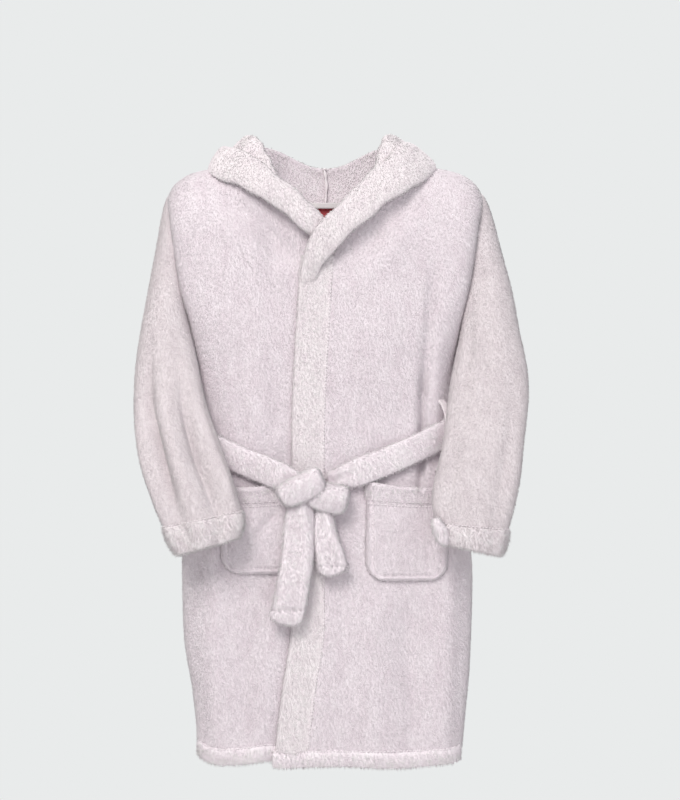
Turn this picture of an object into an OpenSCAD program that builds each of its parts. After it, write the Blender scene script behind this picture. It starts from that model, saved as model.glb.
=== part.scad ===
// Child's hooded fleece bathrobe, tied with its belt, hood thrown back, sleeves hanging.
// Millimetres. +Z is up, -Y is the front, +X is the wearer's left.
// The origin is the hanging loop in the middle of the back neck.

/* [Body] */
// Length from the back neck down to the hem
robe_length = 738; // [720:1:760]
// Half width of the body at the armhole
chest_half = 176; // [174:1:178]
// Half width where the belt draws the body in
waist_half = 165; // [162:1:168]
// Half width at the hips
hip_half = 190; // [186:1:194]
// Half width at the hem
hem_half = 175; // [170:1:180]
// Half depth of the body at the chest
chest_depth = 46; // [44:1:48]
// Half depth of the body at the waist
waist_depth = 40; // [38:1:42]
// Half depth of the body at the hips
hip_depth = 46; // [44:1:48]
// Thickness of the fleece
cloth = 4.5; // [4:0.1:5]

/* [Fronts and hems] */
// Width of the folded band down each front edge
band_w = 40; // [36:1:42]
// How far the upper front's edge lies past the middle at the chest
overlap_chest = 32; // [30:1:36]
// How far the upper front's edge lies past the middle at the hem
overlap_hem = 64; // [58:1:66]
// How far the lower front reaches under the upper one
under_reach = 34; // [28:1:38]
// Height of the bottom hem
hem_h = 20; // [16:1:24]

/* [Sleeves] */
// Distance of each shoulder point from the middle
shoulder_x = 174; // [173:1:175]
// Radius of the round sleeve head at the shoulder
head_r = 42; // [40:0.5:42]
// Height of the turned cuff hem
cuff_h = 32; // [28:1:34]

/* [Belt] */
// Width of the belt
belt_w = 32; // [30:1:34]
// Thickness of the belt
belt_t = 5; // [4:0.5:5]
// Height of the belt at the side seams
belt_z = -300; // [-302:1:-298]

/* [Pockets] */
// Width of a patch pocket
pocket_w = 107; // [100:1:108]
// Height of a patch pocket
pocket_h = 127; // [120:1:130]
// Room for a hand behind the pocket cloth
pocket_gap = 10; // [9:0.5:10]
// Height of the turned hem along a pocket's top
pocket_hem_h = 20; // [18:1:24]

/* [Hood] */
// Length of the hood that hangs behind the back
hood_drop = 206; // [190:1:210]
// Half width of the hood at its widest
hood_half = 128; // [120:1:130]
// How far the hood's sides stand back from its middle
hood_depth = 36; // [32:1:38]

/* [Hidden] */

fleece = "#e6dbe0";
fleece_light = "#efe5e8";
fleece_shade = "#d9ccd3";
gap = 0.4;              // air between separate pieces
eps = 0.01;
oval = 2.6;             // how square the body's oval section is
left = 1;               // wearer's left is +X
right = -1;
armhole_top = -55;
armhole_low = -165;
hem_z = -robe_length;
hem_top = hem_z + hem_h;
neck_side_x = 95;       // where a shoulder seam meets the neck
neck_side_z = 50;
shoulder_z = -9;        // height of the shoulder points
neck_z = -6;            // back neck seam at the middle
front_z = -80;          // where the two fronts cross

function mix(a, b, t) = a + (b - a) * t;
function clamp(v, lo, hi) = min(hi, max(lo, v));
function ease(t) = let (c = clamp(t, 0, 1)) c * c * (3 - 2 * c);
function power(v, p) = pow(max(v, 0), p);
function side_sign(v) = v < 0 ? -1 : 1;

// The body's half width and half depth at a height.
function half_w(z) = lookup(z, [[hem_z, hem_half], [-640, hem_half + 3], [-480, hip_half],
    [-400, 181], [belt_z - 10, waist_half], [armhole_low, chest_half], [200, chest_half]]);
function half_d(z) = lookup(z, [[hem_z, hip_depth - 2], [-480, hip_depth],
    [belt_z - 10, waist_depth], [armhole_low, chest_depth], [-60, chest_depth], [30, 34]]);
// In the armhole the cloth stays open, so the oval is worked out on a wider base there.
function base_w(z) = lookup(z, [[armhole_low - 10, half_w(z)], [armhole_low + 10, chest_half + 39],
    [100, chest_half + 39]]);
function shoulder_line(x) = lookup(abs(x), [[0, neck_side_z + 8], [neck_side_x, neck_side_z],
    [shoulder_x, shoulder_z + head_r - 1]]);
function top_fade(x, z) = let (u = clamp((z - shoulder_line(x) + 60) / 60, 0, 1)) sqrt(1 - u * u);
// Distance of the body's outer face from the X axis plane, moved out by off.
function depth_at(x, z, off = 0) = max(cloth + gap,
    (half_d(z) + off) * power(1 - pow(min(1, abs(x) / (base_w(z) + off)), oval),
        1 / oval) * top_fade(x, z));

// A closed sheet between two faces, each given as a function of u and v from 0 to 1.
module slab(outer, inner, nu, nv, flip = false) {
    n = (nu + 1) * (nv + 1);
    pts = concat([for (i = [0:nu], j = [0:nv]) outer(i / nu, j / nv)],
        [for (i = [0:nu], j = [0:nv]) inner(i / nu, j / nv)]);
    at = function(i, j, k) k * n + i * (nv + 1) + j;
    faces = concat(
        [for (i = [0:nu - 1], j = [0:nv - 1]) each quad(at(i, j, 0), at(i + 1, j, 0), at(i + 1,
            j + 1, 0), at(i, j + 1, 0))],
        [for (i = [0:nu - 1], j = [0:nv - 1]) each quad(at(i, j, 1), at(i, j + 1, 1), at(i + 1,
            j + 1, 1), at(i + 1, j, 1))],
        [for (i = [0:nu - 1]) each quad(at(i, 0, 0), at(i, 0, 1), at(i + 1, 0, 1), at(i + 1, 0, 0))],
        [for (i = [0:nu - 1]) each quad(at(i, nv, 0), at(i + 1, nv, 0), at(i + 1, nv, 1), at(i,
            nv, 1))],
        [for (j = [0:nv - 1]) each quad(at(0, j, 0), at(0, j + 1, 0), at(0, j + 1, 1), at(0, j, 1))],
        [for (j = [0:nv - 1]) each quad(at(nu, j, 0), at(nu, j, 1), at(nu, j + 1, 1), at(nu,
            j + 1, 0))]);
    polyhedron(pts, flip ? faces : turned(faces));
}
function quad(a, b, c, d) = [[a, b, c], [a, c, d]];
function turned(faces) = [for (f = faces) [f[0], f[2], f[1]]];

// A tube wall between an outer and an inner ring function; u goes round, v goes along.
module tube(outer, inner, nu, nv, flip = false) {
    n = nu * (nv + 1);
    pts = concat([for (i = [0:nu - 1], j = [0:nv]) outer(i / nu, j / nv)],
        [for (i = [0:nu - 1], j = [0:nv]) inner(i / nu, j / nv)]);
    at = function(i, j, k) k * n + (i % nu) * (nv + 1) + j;
    faces = concat(
        [for (i = [0:nu - 1], j = [0:nv - 1]) each quad(at(i, j, 0), at(i + 1, j, 0), at(i + 1,
            j + 1, 0), at(i, j + 1, 0))],
        [for (i = [0:nu - 1], j = [0:nv - 1]) each quad(at(i, j, 1), at(i, j + 1, 1), at(i + 1,
            j + 1, 1), at(i + 1, j, 1))],
        [for (i = [0:nu - 1]) each quad(at(i, 0, 0), at(i, 0, 1), at(i + 1, 0, 1), at(i + 1, 0, 0))],
        [for (i = [0:nu - 1]) each quad(at(i, nv, 0), at(i + 1, nv, 0), at(i + 1, nv, 1), at(i,
            nv, 1))]);
    polyhedron(pts, flip ? turned(faces) : faces);
}

// A solid rod through rings given by a function; u goes round, v goes along, ends closed.
module rod(ring, nu, nv, flip = false) {
    pts = concat([for (i = [0:nu - 1], j = [0:nv]) ring(i / nu, j / nv)], [middle(ring, nu, 0),
        middle(ring, nu, 1)]);
    at = function(i, j) (i % nu) * (nv + 1) + j;
    start = nu * (nv + 1);
    faces = concat(
        [for (i = [0:nu - 1], j = [0:nv - 1]) each quad(at(i, j), at(i + 1, j), at(i + 1, j + 1),
            at(i, j + 1))],
        [for (i = [0:nu - 1]) [at(i + 1, 0), at(i, 0), start]],
        [for (i = [0:nu - 1]) [at(i, nv), at(i + 1, nv), start + 1]]);
    polyhedron(pts, flip ? turned(faces) : faces);
}
function middle(ring, nu, v) = let (all = [for (i = [0:nu - 1]) ring(i / nu, v)]) sum(all) / nu;
function sum(v, i = 0) = i == len(v) - 1 ? v[i] : v[i] + sum(v, i + 1);

// ---- body ----

// Point on the body: x, height and how far in front of (or behind) its outer face; face is 1 in
// front, -1 behind.
function on_body(x, z, off, face) = [x, -face * (depth_at(x, z, 0) + off), z];

// Front edge of the upper (left) front and of the lower (right) front, at a height.
function upper_edge(z) = -lookup(z, [[hem_z, overlap_hem], [-546, 38], [-312, 42], [-130,
    overlap_chest], [front_z, overlap_chest - 3]]);
lower_edge = under_reach;
// The lower front steps in under the upper one.
function tuck(x) = -(cloth + 2) * ease((x + 95) / 30);
function col(t) = sin(90 * t);

// Top outline of a front, from the crossing up to the neck and out along the shoulder.
function front_top(u, x0) = u < 0.5
    ? [mix(x0, neck_side_x, u * 2), mix(front_z, neck_side_z, u * 2)]
    : [mix(neck_side_x, shoulder_x, u * 2 - 1), mix(neck_side_z, shoulder_line(shoulder_x), u * 2 - 1)];

// Outline of one front: u from the band to the side seam, v from the hem to the top.
function front_outline(u, v, edge, side) = v < 0.8
    ? let (z = mix(hem_top + gap, front_z - 15, v / 0.8), x0 = side * edge(z))
      [mix(x0, half_w(z) - gap, col(u)), z]
    : let (k = (v - 0.8) / 0.2, z0 = front_z - 15, x0 = side * edge(z0), top = front_top(u,
        side * edge(front_z)),
           low = [mix(x0, half_w(z0) - gap, col(u)), z0])
      [mix(low[0], top[0], k), mix(low[1], top[1], k)];

module front(side, edge, tucked) {
    at = function(u, v, off) let (p = front_outline(u, v, edge, side), x = side * p[0])
        on_body(x, p[1], off + (tucked ? tuck(x) : 0), 1);
    slab(function(u, v) at(u, v, 0), function(u, v) at(u, v, -cloth), 10, 20, side < 0);
}

module front_band(side, near, far, z_top, tucked) {
    at = function(u, v, off) let (z = mix(hem_top + gap, z_top, v), x = side * mix(near(z), far(z), u))
        on_body(x, z, off + (tucked ? tuck(x) : 0), 1);
    slab(function(u, v) at(u, v, 0.5), function(u, v) at(u, v, -cloth), 3, 16, side < 0);
}

module back_panel() {
    neck = function(x) neck_z + (neck_side_z - neck_z) * pow(min(1, abs(x) / neck_side_x), 2);
    top = function(x) min(neck(x), shoulder_line(x));
    outline = function(u, v) let (s = u * 2 - 1, g = side_sign(s) * col(abs(s)), zm = armhole_low)
        v < 0.75 ? let (z = mix(hem_top + gap, zm, v / 0.75)) [g * (half_w(z) - gap), z]
        : let (k = (v - 0.75) / 0.25, x = g * mix(half_w(zm) - gap, shoulder_x, k)) [x, mix(zm,
            top(x), k)];
    at = function(u, v, off) let (p = outline(u, v)) on_body(p[0], p[1], off, -1);
    color(fleece) slab(function(u, v) at(u, v, 0), function(u, v) at(u, v, -cloth), 20, 20, true);
}
module front_panel_left() color(fleece)
    front(left, function(z) upper_edge(z) + band_w + gap, false);
module front_panel_right() color(fleece)
    front(right, function(z) lower_edge - band_w - gap, true);
module front_band_left() color(fleece_light)
    front_band(left, function(z) upper_edge(z), function(z) upper_edge(z) + band_w, front_z - 4, false);
module front_band_right() color(fleece_shade)
    front_band(right, function(z) -lower_edge, function(z) -(lower_edge - band_w), front_z - 6, true);

// A hem strip along the bottom, from one x to another; face is 1 in front, -1 behind.
module hem(x0, x1, face, tucked) {
    at = function(u, v, off) let (x = x0 + (x1 - x0) * u, c = side_sign(x) * min(abs(x),
        hem_half - gap),
        z = mix(hem_z, hem_top, v)) on_body(c, z, off + (tucked ? tuck(c) : 0), face);
    slab(function(u, v) at(u, v, 0.8), function(u, v) at(u, v, -cloth), 14, 2, face < 0);
}
module hem_back() color(fleece_light) hem(-hem_half, hem_half, -1, false);
module hem_left() color(fleece_light) hem(upper_edge(hem_z), hem_half, 1, false);
module hem_right() color(fleece_light) hem(-hem_half, lower_edge, 1, true);

// ---- sleeves ----

// Middle, half width, half depth and slant of a hanging sleeve at a height.
function sleeve_x(side, z) = side > 0
    ? lookup(z, [[-460, 184], [-377, 192], [-312, 204], [-234, 214], [-156, 216], [-78, 212],
        [-40, 207]])
    : lookup(z, [[-440, 152], [-403, 162], [-325, 189], [-260, 205], [-215, 210], [-169, 210],
        [-78, 209], [-40, 204]]);
function sleeve_w(side, z) = side > 0
    ? lookup(z, [[-460, 44], [-377, 51], [-312, 52], [-234, 49], [-156, 36], [-78, 23], [-40, 20]])
    : lookup(z, [[-460, 42], [-403, 50], [-325, 51], [-260, 46], [-215, 39], [-169, 33], [-78,
        21], [-40, 19]]);
function sleeve_y(z) = lookup(z, [[-460, -88], [-400, -84], [-338, -68], [-260, -38], [-169,
    -12], [-50, 0]]);
function sleeve_d(z) = lookup(z, [[-460, 20], [-325, 22], [-260, 27], [-169, 34], [-50, 38]]);
function sleeve_slant(side, z) = side > 0
    ? lookup(z, [[-440, -0.15], [-330, -0.1], [-200, 0], [-48, -0.8]])
    : lookup(z, [[-440, -0.28], [-330, -0.22], [-200, 0], [-48, -0.8]]);

function sleeve_ring(side, zc, u, off) = let (a = 360 * u, hw = sleeve_w(side, zc) + off, hd =
    sleeve_d(zc) + off,
    dx = hw * sin(a)) [side * (sleeve_x(side, zc) + dx), sleeve_y(zc) - hd * cos(a),
        zc + sleeve_slant(side, zc) * dx];

sleeve_top = -52;
cuff_low = [-450, -445];    // left and right cuff edges at the middle of the sleeve
function cuff_z(side) = side > 0 ? cuff_low[0] : cuff_low[1];

// The sleeve is open towards the body from its top down to the underarm.
module sleeve(side) difference() {
    z = function(v) mix(sleeve_top, cuff_z(side) + cuff_h + gap, v);
    tube(function(u, v) sleeve_ring(side, z(v), u, 0), function(u, v) sleeve_ring(side, z(v), u,
        -cloth),
        20, 12, side < 0);
    translate([side > 0 ? shoulder_x - 10 : -shoulder_x - 20, -28, armhole_low + 15]) cube([30,
        56, 140]);
}
module cuff(side) {
    z = function(v) mix(cuff_z(side) + cuff_h, cuff_z(side), v);
    tube(function(u, v) sleeve_ring(side, z(v), u, 1.5), function(u, v) sleeve_ring(side, z(v),
        u, -cloth - 1),
        20, 2, side < 0);
}
module sleeve_left() color(fleece) sleeve(left);
module sleeve_right() color(fleece) sleeve(right);
module cuff_left() color(fleece_light) cuff(left);
module cuff_right() color(fleece_light) cuff(right);

// Rounded head of the sleeve over the shoulder, a hollow lens open towards the body and the arm.
module sleeve_head(side) {
    bulge = 34;
    head_gap = 2;
    lens = function(r, h) concat([for (a = [-90:15:90]) [r * cos(a), h * sin(a)]]);
    translate([side * shoulder_x, 0, shoulder_z]) intersection() {
        rotate([90, 0, 0]) rotate_extrude($fn = 48) difference() {
            polygon(lens(head_r, bulge));
            polygon(concat(lens(head_r - cloth, bulge - cloth), [[-eps, 0]]));
        }
        translate([side > 0 ? head_gap : -head_gap - 60, -60, -24]) cube([60, 120, 120]);
    }
}
module sleeve_head_left() color(fleece) sleeve_head(left);
module sleeve_head_right() color(fleece) sleeve_head(right);

// ---- hood ----

// Path of the neck: a bow round the back from one side of the neck to the other.
neck_back_y = 30;
function neck_bow(a, r) = [(100 + r) * sin(a), -16 + (neck_back_y + 16 + r) * cos(a)];
function stand_low(a) = neck_z + 1 + 58 * pow(abs(sin(a)), 2.4);
function stand_top(a) = 46 + 28 * pow(abs(sin(a)), 1.6);

// Standing part of the hood between the neck seam and the fold it hangs from.
module hood_stand() color(fleece_shade) {
    at = function(u, v, r) let (a = mix(-78, 78, u), p = neck_bow(a, r - 7 * (1 - v)))
        [p[0], p[1], mix(stand_low(a) + 2, stand_top(a), v)];
    slab(function(u, v) at(u, v, 0), function(u, v) at(u, v, -cloth), 18, 4, true);
}

// Rolled front edge of the hood from the crossing of the fronts up to the side of the neck.
function roll_path(side, v) = side > 0
    ? [lookup(v, [[0, -2], [0.25, 26], [0.55, 64], [0.8, 98], [1, 124]]),
       lookup(v, [[0, -76], [0.25, -73], [0.55, -60], [0.8, -42], [1, -22]]),
       lookup(v, [[0, -56], [0.25, -26], [0.55, 9], [0.8, 40], [1, 66]])]
    : [lookup(v, [[0, -14], [0.25, -44], [0.55, -80], [0.8, -108], [1, -130]]),
       lookup(v, [[0, -63], [0.25, -65], [0.55, -56], [0.8, -40], [1, -22]]),
       lookup(v, [[0, -42], [0.25, -16], [0.55, 13], [0.8, 38], [1, 60]])];
module hood_roll(side, half) {
    ring = function(u, v) let (p = roll_path(side, v), a = 360 * u, w = half * mix(0.9, 1, ease(v * 4)),
        t = lookup(v, [[0, 5.5], [0.5, 7], [1, 9]]), dir = side * 0.68)
        p + [w * cos(a) * -dir, -t * sin(a), w * cos(a) * 0.73];
    rod(ring, 14, 10, side > 0);
}
module hood_roll_left() color(fleece_light) hood_roll(left, 24);
module hood_roll_right() color(fleece_light) hood_roll(right, 19);

// Hood hanging behind: a scoop, its middle near the back and its rim standing away.
hood_top_z = 44;
hood_y = 57;
function hood_w(v) = hood_half * lookup(v, [[0, 0.86], [0.3, 1], [0.6, 0.93], [0.8, 0.76], [0.92,
    0.52], [1, 0.2]]);
function hood_point(side, u, v, off) = let (x = hood_w(v) * u, back = hood_depth * (0.75 * pow(u,
    2) + 0.4 * pow(v, 3)))
    [side * x, hood_y + back + off, hood_top_z + 14 * u * u * (1 - v) - hood_drop * v];
module hood_shell(side) {
    fit = function(u) mix(gap / hood_half, 0.88, u);
    slab(function(u, v) hood_point(side, fit(u), 0.01 + v * 0.9, cloth), function(u,
        v) hood_point(side, fit(u), 0.01 + v * 0.9, 0),
        8, 12, side < 0);
}
// Hemmed rim of the hood, from the neck round to its lowest point at the back.
module hood_edge(side) {
    at = function(u, v, off) let (w = mix(0.895, 1.06, u)) hood_point(side, w, 0.01 + 0.9 * v, off);
    slab(function(u, v) at(u, v, cloth + 2), function(u, v) at(u, v, -1), 2, 12, side < 0);
}
module hood_shell_left() color(fleece) hood_shell(left);
module hood_shell_right() color(fleece) hood_shell(right);
module hood_edge_left() color(fleece_light) hood_edge(left);
module hood_edge_right() color(fleece_light) hood_edge(right);

// ---- belt ----

belt_out = 2;           // air between the body and the belt
knot = [-16, -380];     // middle of the knot across and up
// The belt's oval at an angle round the waist: 0 is the front, 180 the back.
function waist_oval(a, z, off) = let (s = sin(a), c = cos(a))
    [(half_w(z) + off) * side_sign(s) * power(abs(s), 2 / oval),
        -(half_d(z) + off) * side_sign(c) * power(abs(c), 2 / oval)];
// The wearer's right end of the belt hangs a little lower.
function belt_side_z(side) = side > 0 ? belt_z : belt_z - 13;
module belt_back() color(fleece_light) {
    at = function(u, v, off) let (a = mix(88, 272, u), p = waist_oval(a, belt_z, off + belt_out + 1),
        t = (p[0] / waist_half + 1) / 2) [p[0], p[1], mix(belt_side_z(right), belt_side_z(left),
            t) + belt_w * (v - 0.5)];
    slab(function(u, v) at(u, v, belt_t), function(u, v) at(u, v, 0), 28, 2);
}
// Near the knot the run stands forward, clear of the pocket below it.
module belt_run(side, x_end, z_end, forward) {
    a_end = asin(pow(abs(x_end) / waist_half, oval / 2));
    at = function(u, v, off) let (a = mix(87.5, a_end, u), p = waist_oval(side * a, belt_z,
        off + belt_out + 1),
        run = (waist_half - abs(p[0])) / (waist_half - abs(x_end)))
        [p[0], p[1] - 5 * ease(u * 3) - forward * ease((run - 0.5) / 0.3), mix(belt_side_z(side),
            z_end, max(0, run)) + belt_w * (v - 0.5)];
    slab(function(u, v) at(u, v, belt_t), function(u, v) at(u, v, 0), 14, 2, side > 0);
}
module belt_run_left() color(fleece_light) belt_run(left, 12, -364, 0);
module belt_run_right() color(fleece_light) belt_run(right, -44, -363, 10);

knot_y = -62;
// A cushion shape about a middle, with half sizes and its own turn in the front plane.
module cushion(mid, half, turn) {
    ring = function(u, v) let (a = 360 * u, b = mix(-80, 80, v), r = power(cos(b), 0.5),
        x = half[0] * sin(b) / sin(80), y = -half[1] * r * cos(a), z = half[2] * r * sin(a))
        mid + [x * cos(turn) - z * sin(turn), y, x * sin(turn) + z * cos(turn)];
    rod(ring, 16, 8);
}
module belt_knot() color(fleece_light) cushion([knot[0] + 14, knot_y, knot[1] + 2], [26, 9, 19], -18);
module belt_knot_wrap() color(fleece) cushion([knot[0] - 13, knot_y - 17.5, knot[1] + 1], [25, 8,
    17], -40);

tail_y = -66;
tail_pivot_z = -406;
tail_r = 3;
// A free end of the belt: x at top and bottom, half width at top and bottom, and its lowest height.
module belt_tail(top_x, low_x, top_w, low_w, low_z) {
    ring = function(u, v) let (a = 360 * u, w = mix(top_w, low_w, v), q =
        [w * side_sign(sin(a)) * power(abs(sin(a)), 0.45),
        -tail_r * side_sign(cos(a)) * power(abs(cos(a)), 0.45)])
        [mix(top_x, low_x, v) + q[0], tail_y - 3 * v + q[1], mix(tail_pivot_z, low_z, v)];
    rod(ring, 16, 8);
}
module belt_tail_long() color(fleece_light) belt_tail(-33, -50, 15, 20, -547);
module belt_tail_short() color(fleece_light) belt_tail(-1, 7, 10, 19, -491);

// Narrow strap sewn to the side of the body that the belt passes through; around is its angle on
// the belt's oval.
module belt_loop(side, around) {
    lift = function(v) belt_t + 2.5 - 6 * power(abs(v * 2 - 1), 4);
    at = function(u, v, off) let (a = around + mix(3, -3, u), z =
        belt_side_z(side) + 48 * (v * 2 - 1), p = waist_oval(side * a, belt_z, lift(v) + off + 6))
        [p[0], p[1], z];
    slab(function(u, v) at(u, v, 2.5), function(u, v) at(u, v, 0), 2, 12, side > 0);
}
module belt_loop_left() color(fleece) belt_loop(left, 57);
module belt_loop_right() color(fleece) belt_loop(right, 81);

// ---- pockets ----

pocket_top = [-368, -371];  // left and right pocket
corner = 26;
function pocket_mid(side) = side > 0 ? 106.5 : 82;
function pocket_z(side) = side > 0 ? pocket_top[0] : pocket_top[1];
// Half width of the pocket at a distance above its bottom, with rounded lower corners.
function pocket_half(h, inset) = let (r = corner - inset, full = pocket_w / 2 - inset, d = max(0,
    r - max(h - inset, 0)))
    full - r + sqrt(max(0, r * r - d * d)) + 0.01;
module pocket_block(side, h0, h1, inset, near, far, nv) {
    low = pocket_z(side) - pocket_h;
    at = function(u, v, off) let (h = h0 + (h1 - h0) * pow(v, 1.6), x =
        side * (pocket_mid(side) + pocket_half(h, inset) * (2 * u - 1)))
        on_body(x, low + h, off, 1);
    slab(function(u, v) at(u, v, far), function(u, v) at(u, v, near), 10, nv, side < 0);
}
module pocket(side) difference() {
    pocket_block(side, 0, pocket_h - pocket_hem_h - gap, 0, 0.8, pocket_gap + 4, 12);
    pocket_block(side, 5, pocket_h + 10, 5, -5, pocket_gap, 12);
}
module pocket_hem(side) difference() {
    pocket_block(side, pocket_h - pocket_hem_h, pocket_h, 0, 0.8, pocket_gap + 5.5, 3);
    pocket_block(side, pocket_h - pocket_hem_h - 10, pocket_h + 10, 5, -5, pocket_gap, 3);
}
module pocket_left() color(fleece) pocket(left);
module pocket_right() color(fleece) pocket(right);
module pocket_hem_left() color(fleece_light) pocket_hem(left);
module pocket_hem_right() color(fleece_light) pocket_hem(right);

// ---- neck fittings ----

// Tape that covers the inside of the back neck seam.
module neck_tape() color(fleece_light) {
    at = function(u, v, r) let (a = mix(-34, 34, u), p = neck_bow(a, r - 16)) [p[0], p[1],
        mix(-16, -3, v) + 58 * pow(abs(sin(a)), 2.4)];
    slab(function(u, v) at(u, v, 0), function(u, v) at(u, v, -1.2), 10, 1, true);
}
// Plain woven label hanging from the tape.
module neck_label() color("#96484a") translate([-16, neck_back_y - 16 - 3.6, -27]) cube([38, 0.8, 16]);
// Ribbon loop that the robe hangs from.
module hanging_loop() color("#f2f0ee") {
    loop_w = 56;
    loop_y = neck_back_y - 16 - 3.6;
    stand_off = 9;
    translate([0, 0, -3]) difference() {
        translate([-loop_w / 2, loop_y - stand_off, -3]) cube([loop_w, stand_off, 6]);
        translate([-loop_w / 2 + 2, loop_y - stand_off + 1.6, -4]) cube([loop_w - 4, stand_off, 8]);
    }
}

back_panel();
front_panel_left();
front_panel_right();
front_band_left();
front_band_right();
hem_back();
hem_left();
hem_right();
sleeve_head_left();
sleeve_head_right();
sleeve_left();
sleeve_right();
cuff_left();
cuff_right();
hood_stand();
hood_roll_left();
hood_roll_right();
hood_shell_left();
hood_shell_right();
hood_edge_left();
hood_edge_right();
belt_back();
belt_run_left();
belt_run_right();
belt_knot();
belt_knot_wrap();
belt_tail_long();
belt_tail_short();
belt_loop_left();
belt_loop_right();
pocket_left();
pocket_right();
pocket_hem_left();
pocket_hem_right();
neck_tape();
neck_label();
hanging_loop();
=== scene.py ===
"""A child's hooded fleece bathrobe, tied with its belt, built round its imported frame.

Sizes are in millimetres in the frame's own axes: +X is the wearer's left, -Y the front and +Z up, with the
origin at the hanging loop. Meshes are turned to metres where they are made.
"""

import logging
import math
from dataclasses import dataclass, field
from enum import Enum

import bpy
import numpy as np
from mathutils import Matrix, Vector

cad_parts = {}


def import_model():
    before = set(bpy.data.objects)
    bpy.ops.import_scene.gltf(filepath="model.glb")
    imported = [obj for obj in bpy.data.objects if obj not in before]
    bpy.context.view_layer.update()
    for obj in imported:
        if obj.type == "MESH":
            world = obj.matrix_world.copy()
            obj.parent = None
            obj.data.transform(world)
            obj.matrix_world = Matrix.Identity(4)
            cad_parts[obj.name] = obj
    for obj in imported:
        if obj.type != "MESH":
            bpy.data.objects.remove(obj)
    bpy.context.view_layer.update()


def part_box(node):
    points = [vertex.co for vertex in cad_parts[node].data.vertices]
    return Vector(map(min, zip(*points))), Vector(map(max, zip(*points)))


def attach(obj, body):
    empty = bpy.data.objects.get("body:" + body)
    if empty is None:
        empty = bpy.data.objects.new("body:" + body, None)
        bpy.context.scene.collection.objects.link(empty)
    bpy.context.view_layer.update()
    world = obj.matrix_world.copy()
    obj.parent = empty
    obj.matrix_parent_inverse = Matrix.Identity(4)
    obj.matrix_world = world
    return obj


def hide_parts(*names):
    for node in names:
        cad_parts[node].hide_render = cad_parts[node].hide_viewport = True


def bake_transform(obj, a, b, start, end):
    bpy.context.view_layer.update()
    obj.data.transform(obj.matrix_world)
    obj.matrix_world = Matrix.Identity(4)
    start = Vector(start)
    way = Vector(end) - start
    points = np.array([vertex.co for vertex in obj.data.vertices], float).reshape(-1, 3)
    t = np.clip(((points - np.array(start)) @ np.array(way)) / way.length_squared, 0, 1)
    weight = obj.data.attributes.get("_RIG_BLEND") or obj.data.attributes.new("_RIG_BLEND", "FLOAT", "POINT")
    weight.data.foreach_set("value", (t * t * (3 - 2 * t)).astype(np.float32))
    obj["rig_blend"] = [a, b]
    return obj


LOG = logging.getLogger("bathrobe")
MM = 0.001
# steps round the half circle of a cloth's rim
RIM_STEPS = 4


# ---- curves and small maths ----


class Curve:
    """A smooth line through knots of (position, value) that never overshoots them."""

    def __init__(self, *knots: tuple[float, float]) -> None:
        """Works out the slope at each knot.

        Args:
            knots: Pairs of position and value, in rising position.
        """
        self.at = np.array([k[0] for k in knots], float)
        self.value = np.array([k[1] for k in knots], float)
        rise = np.diff(self.value) / np.diff(self.at)
        slope = np.zeros(len(knots))
        slope[0], slope[-1] = rise[0], rise[-1]
        before, after = rise[:-1], rise[1:]
        same = before * after > 0
        slope[1:-1][same] = 2 * before[same] * after[same] / (before[same] + after[same])
        self.slope = slope

    def __call__(self, x: np.ndarray | float) -> np.ndarray:
        """Reads the curve.

        Args:
            x: Where to read the curve.

        Returns:
            The curve's value there, held level past its ends.
        """
        x = np.clip(np.asarray(x, float), self.at[0], self.at[-1])
        i = np.clip(np.searchsorted(self.at, x, "right") - 1, 0, len(self.at) - 2)
        width = self.at[i + 1] - self.at[i]
        t = (x - self.at[i]) / width
        a, b, m, n = self.value[i], self.value[i + 1], self.slope[i] * width, self.slope[i + 1] * width
        return (
            (2 * t**3 - 3 * t**2 + 1) * a
            + (t**3 - 2 * t**2 + t) * m
            + (3 * t**2 - 2 * t**3) * b
            + (t**3 - t**2) * n
        )


def ease(t: np.ndarray | float) -> np.ndarray:
    """Returns t clamped to 0..1 and smoothed at both ends."""
    c = np.clip(t, 0, 1)
    return c * c * (3 - 2 * c)


def mix(a: float, b: float, t: np.ndarray | float) -> np.ndarray:
    """Returns the value a share t of the way from a to b."""
    return a + (b - a) * t


def bump(x: np.ndarray, middle: float, width: float) -> np.ndarray:
    """Returns a bell of height 1 about middle."""
    return np.exp(-(((x - middle) / width) ** 2))


def grid_of(nu: int, nv: int) -> tuple[np.ndarray, np.ndarray]:
    """Returns u and v from 0 to 1 over a grid of nu by nv points."""
    u, v = np.meshgrid(np.linspace(0, 1, nu), np.linspace(0, 1, nv), indexing="ij")
    return u, v


def round_ring(u: np.ndarray, count: int, full: float = 2 * math.pi) -> np.ndarray:
    """Returns angles round a tube of count points; the last stops one step short of the first."""
    return u * full * (count - 1) / count


def rounded_end(past: np.ndarray, reach: float) -> np.ndarray:
    """Returns how wide a fold is past the start of its round end, as a share of its full width."""
    return np.sqrt(np.clip(1 - np.clip(past / reach, 0, 1) ** 2, 0.02, 1))


def turned(
    mid: tuple[float, float, float], x: np.ndarray, y: np.ndarray, z: np.ndarray, degrees: float
) -> np.ndarray:
    """Returns points round a middle, turned in the front plane.

    Args:
        mid: The middle.
        x: Across, from the middle.
        y: Back, from the middle.
        z: Up, from the middle.
        degrees: How far they are turned.

    Returns:
        The points.
    """
    c, s = math.cos(math.radians(degrees)), math.sin(math.radians(degrees))
    return np.stack([mid[0] + x * c - z * s, mid[1] + y, mid[2] + x * s + z * c], -1)


def unit(v: np.ndarray) -> np.ndarray:
    """Returns vectors scaled to length 1."""
    return v / np.maximum(np.linalg.norm(v, axis=-1, keepdims=True), 1e-9)


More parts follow.
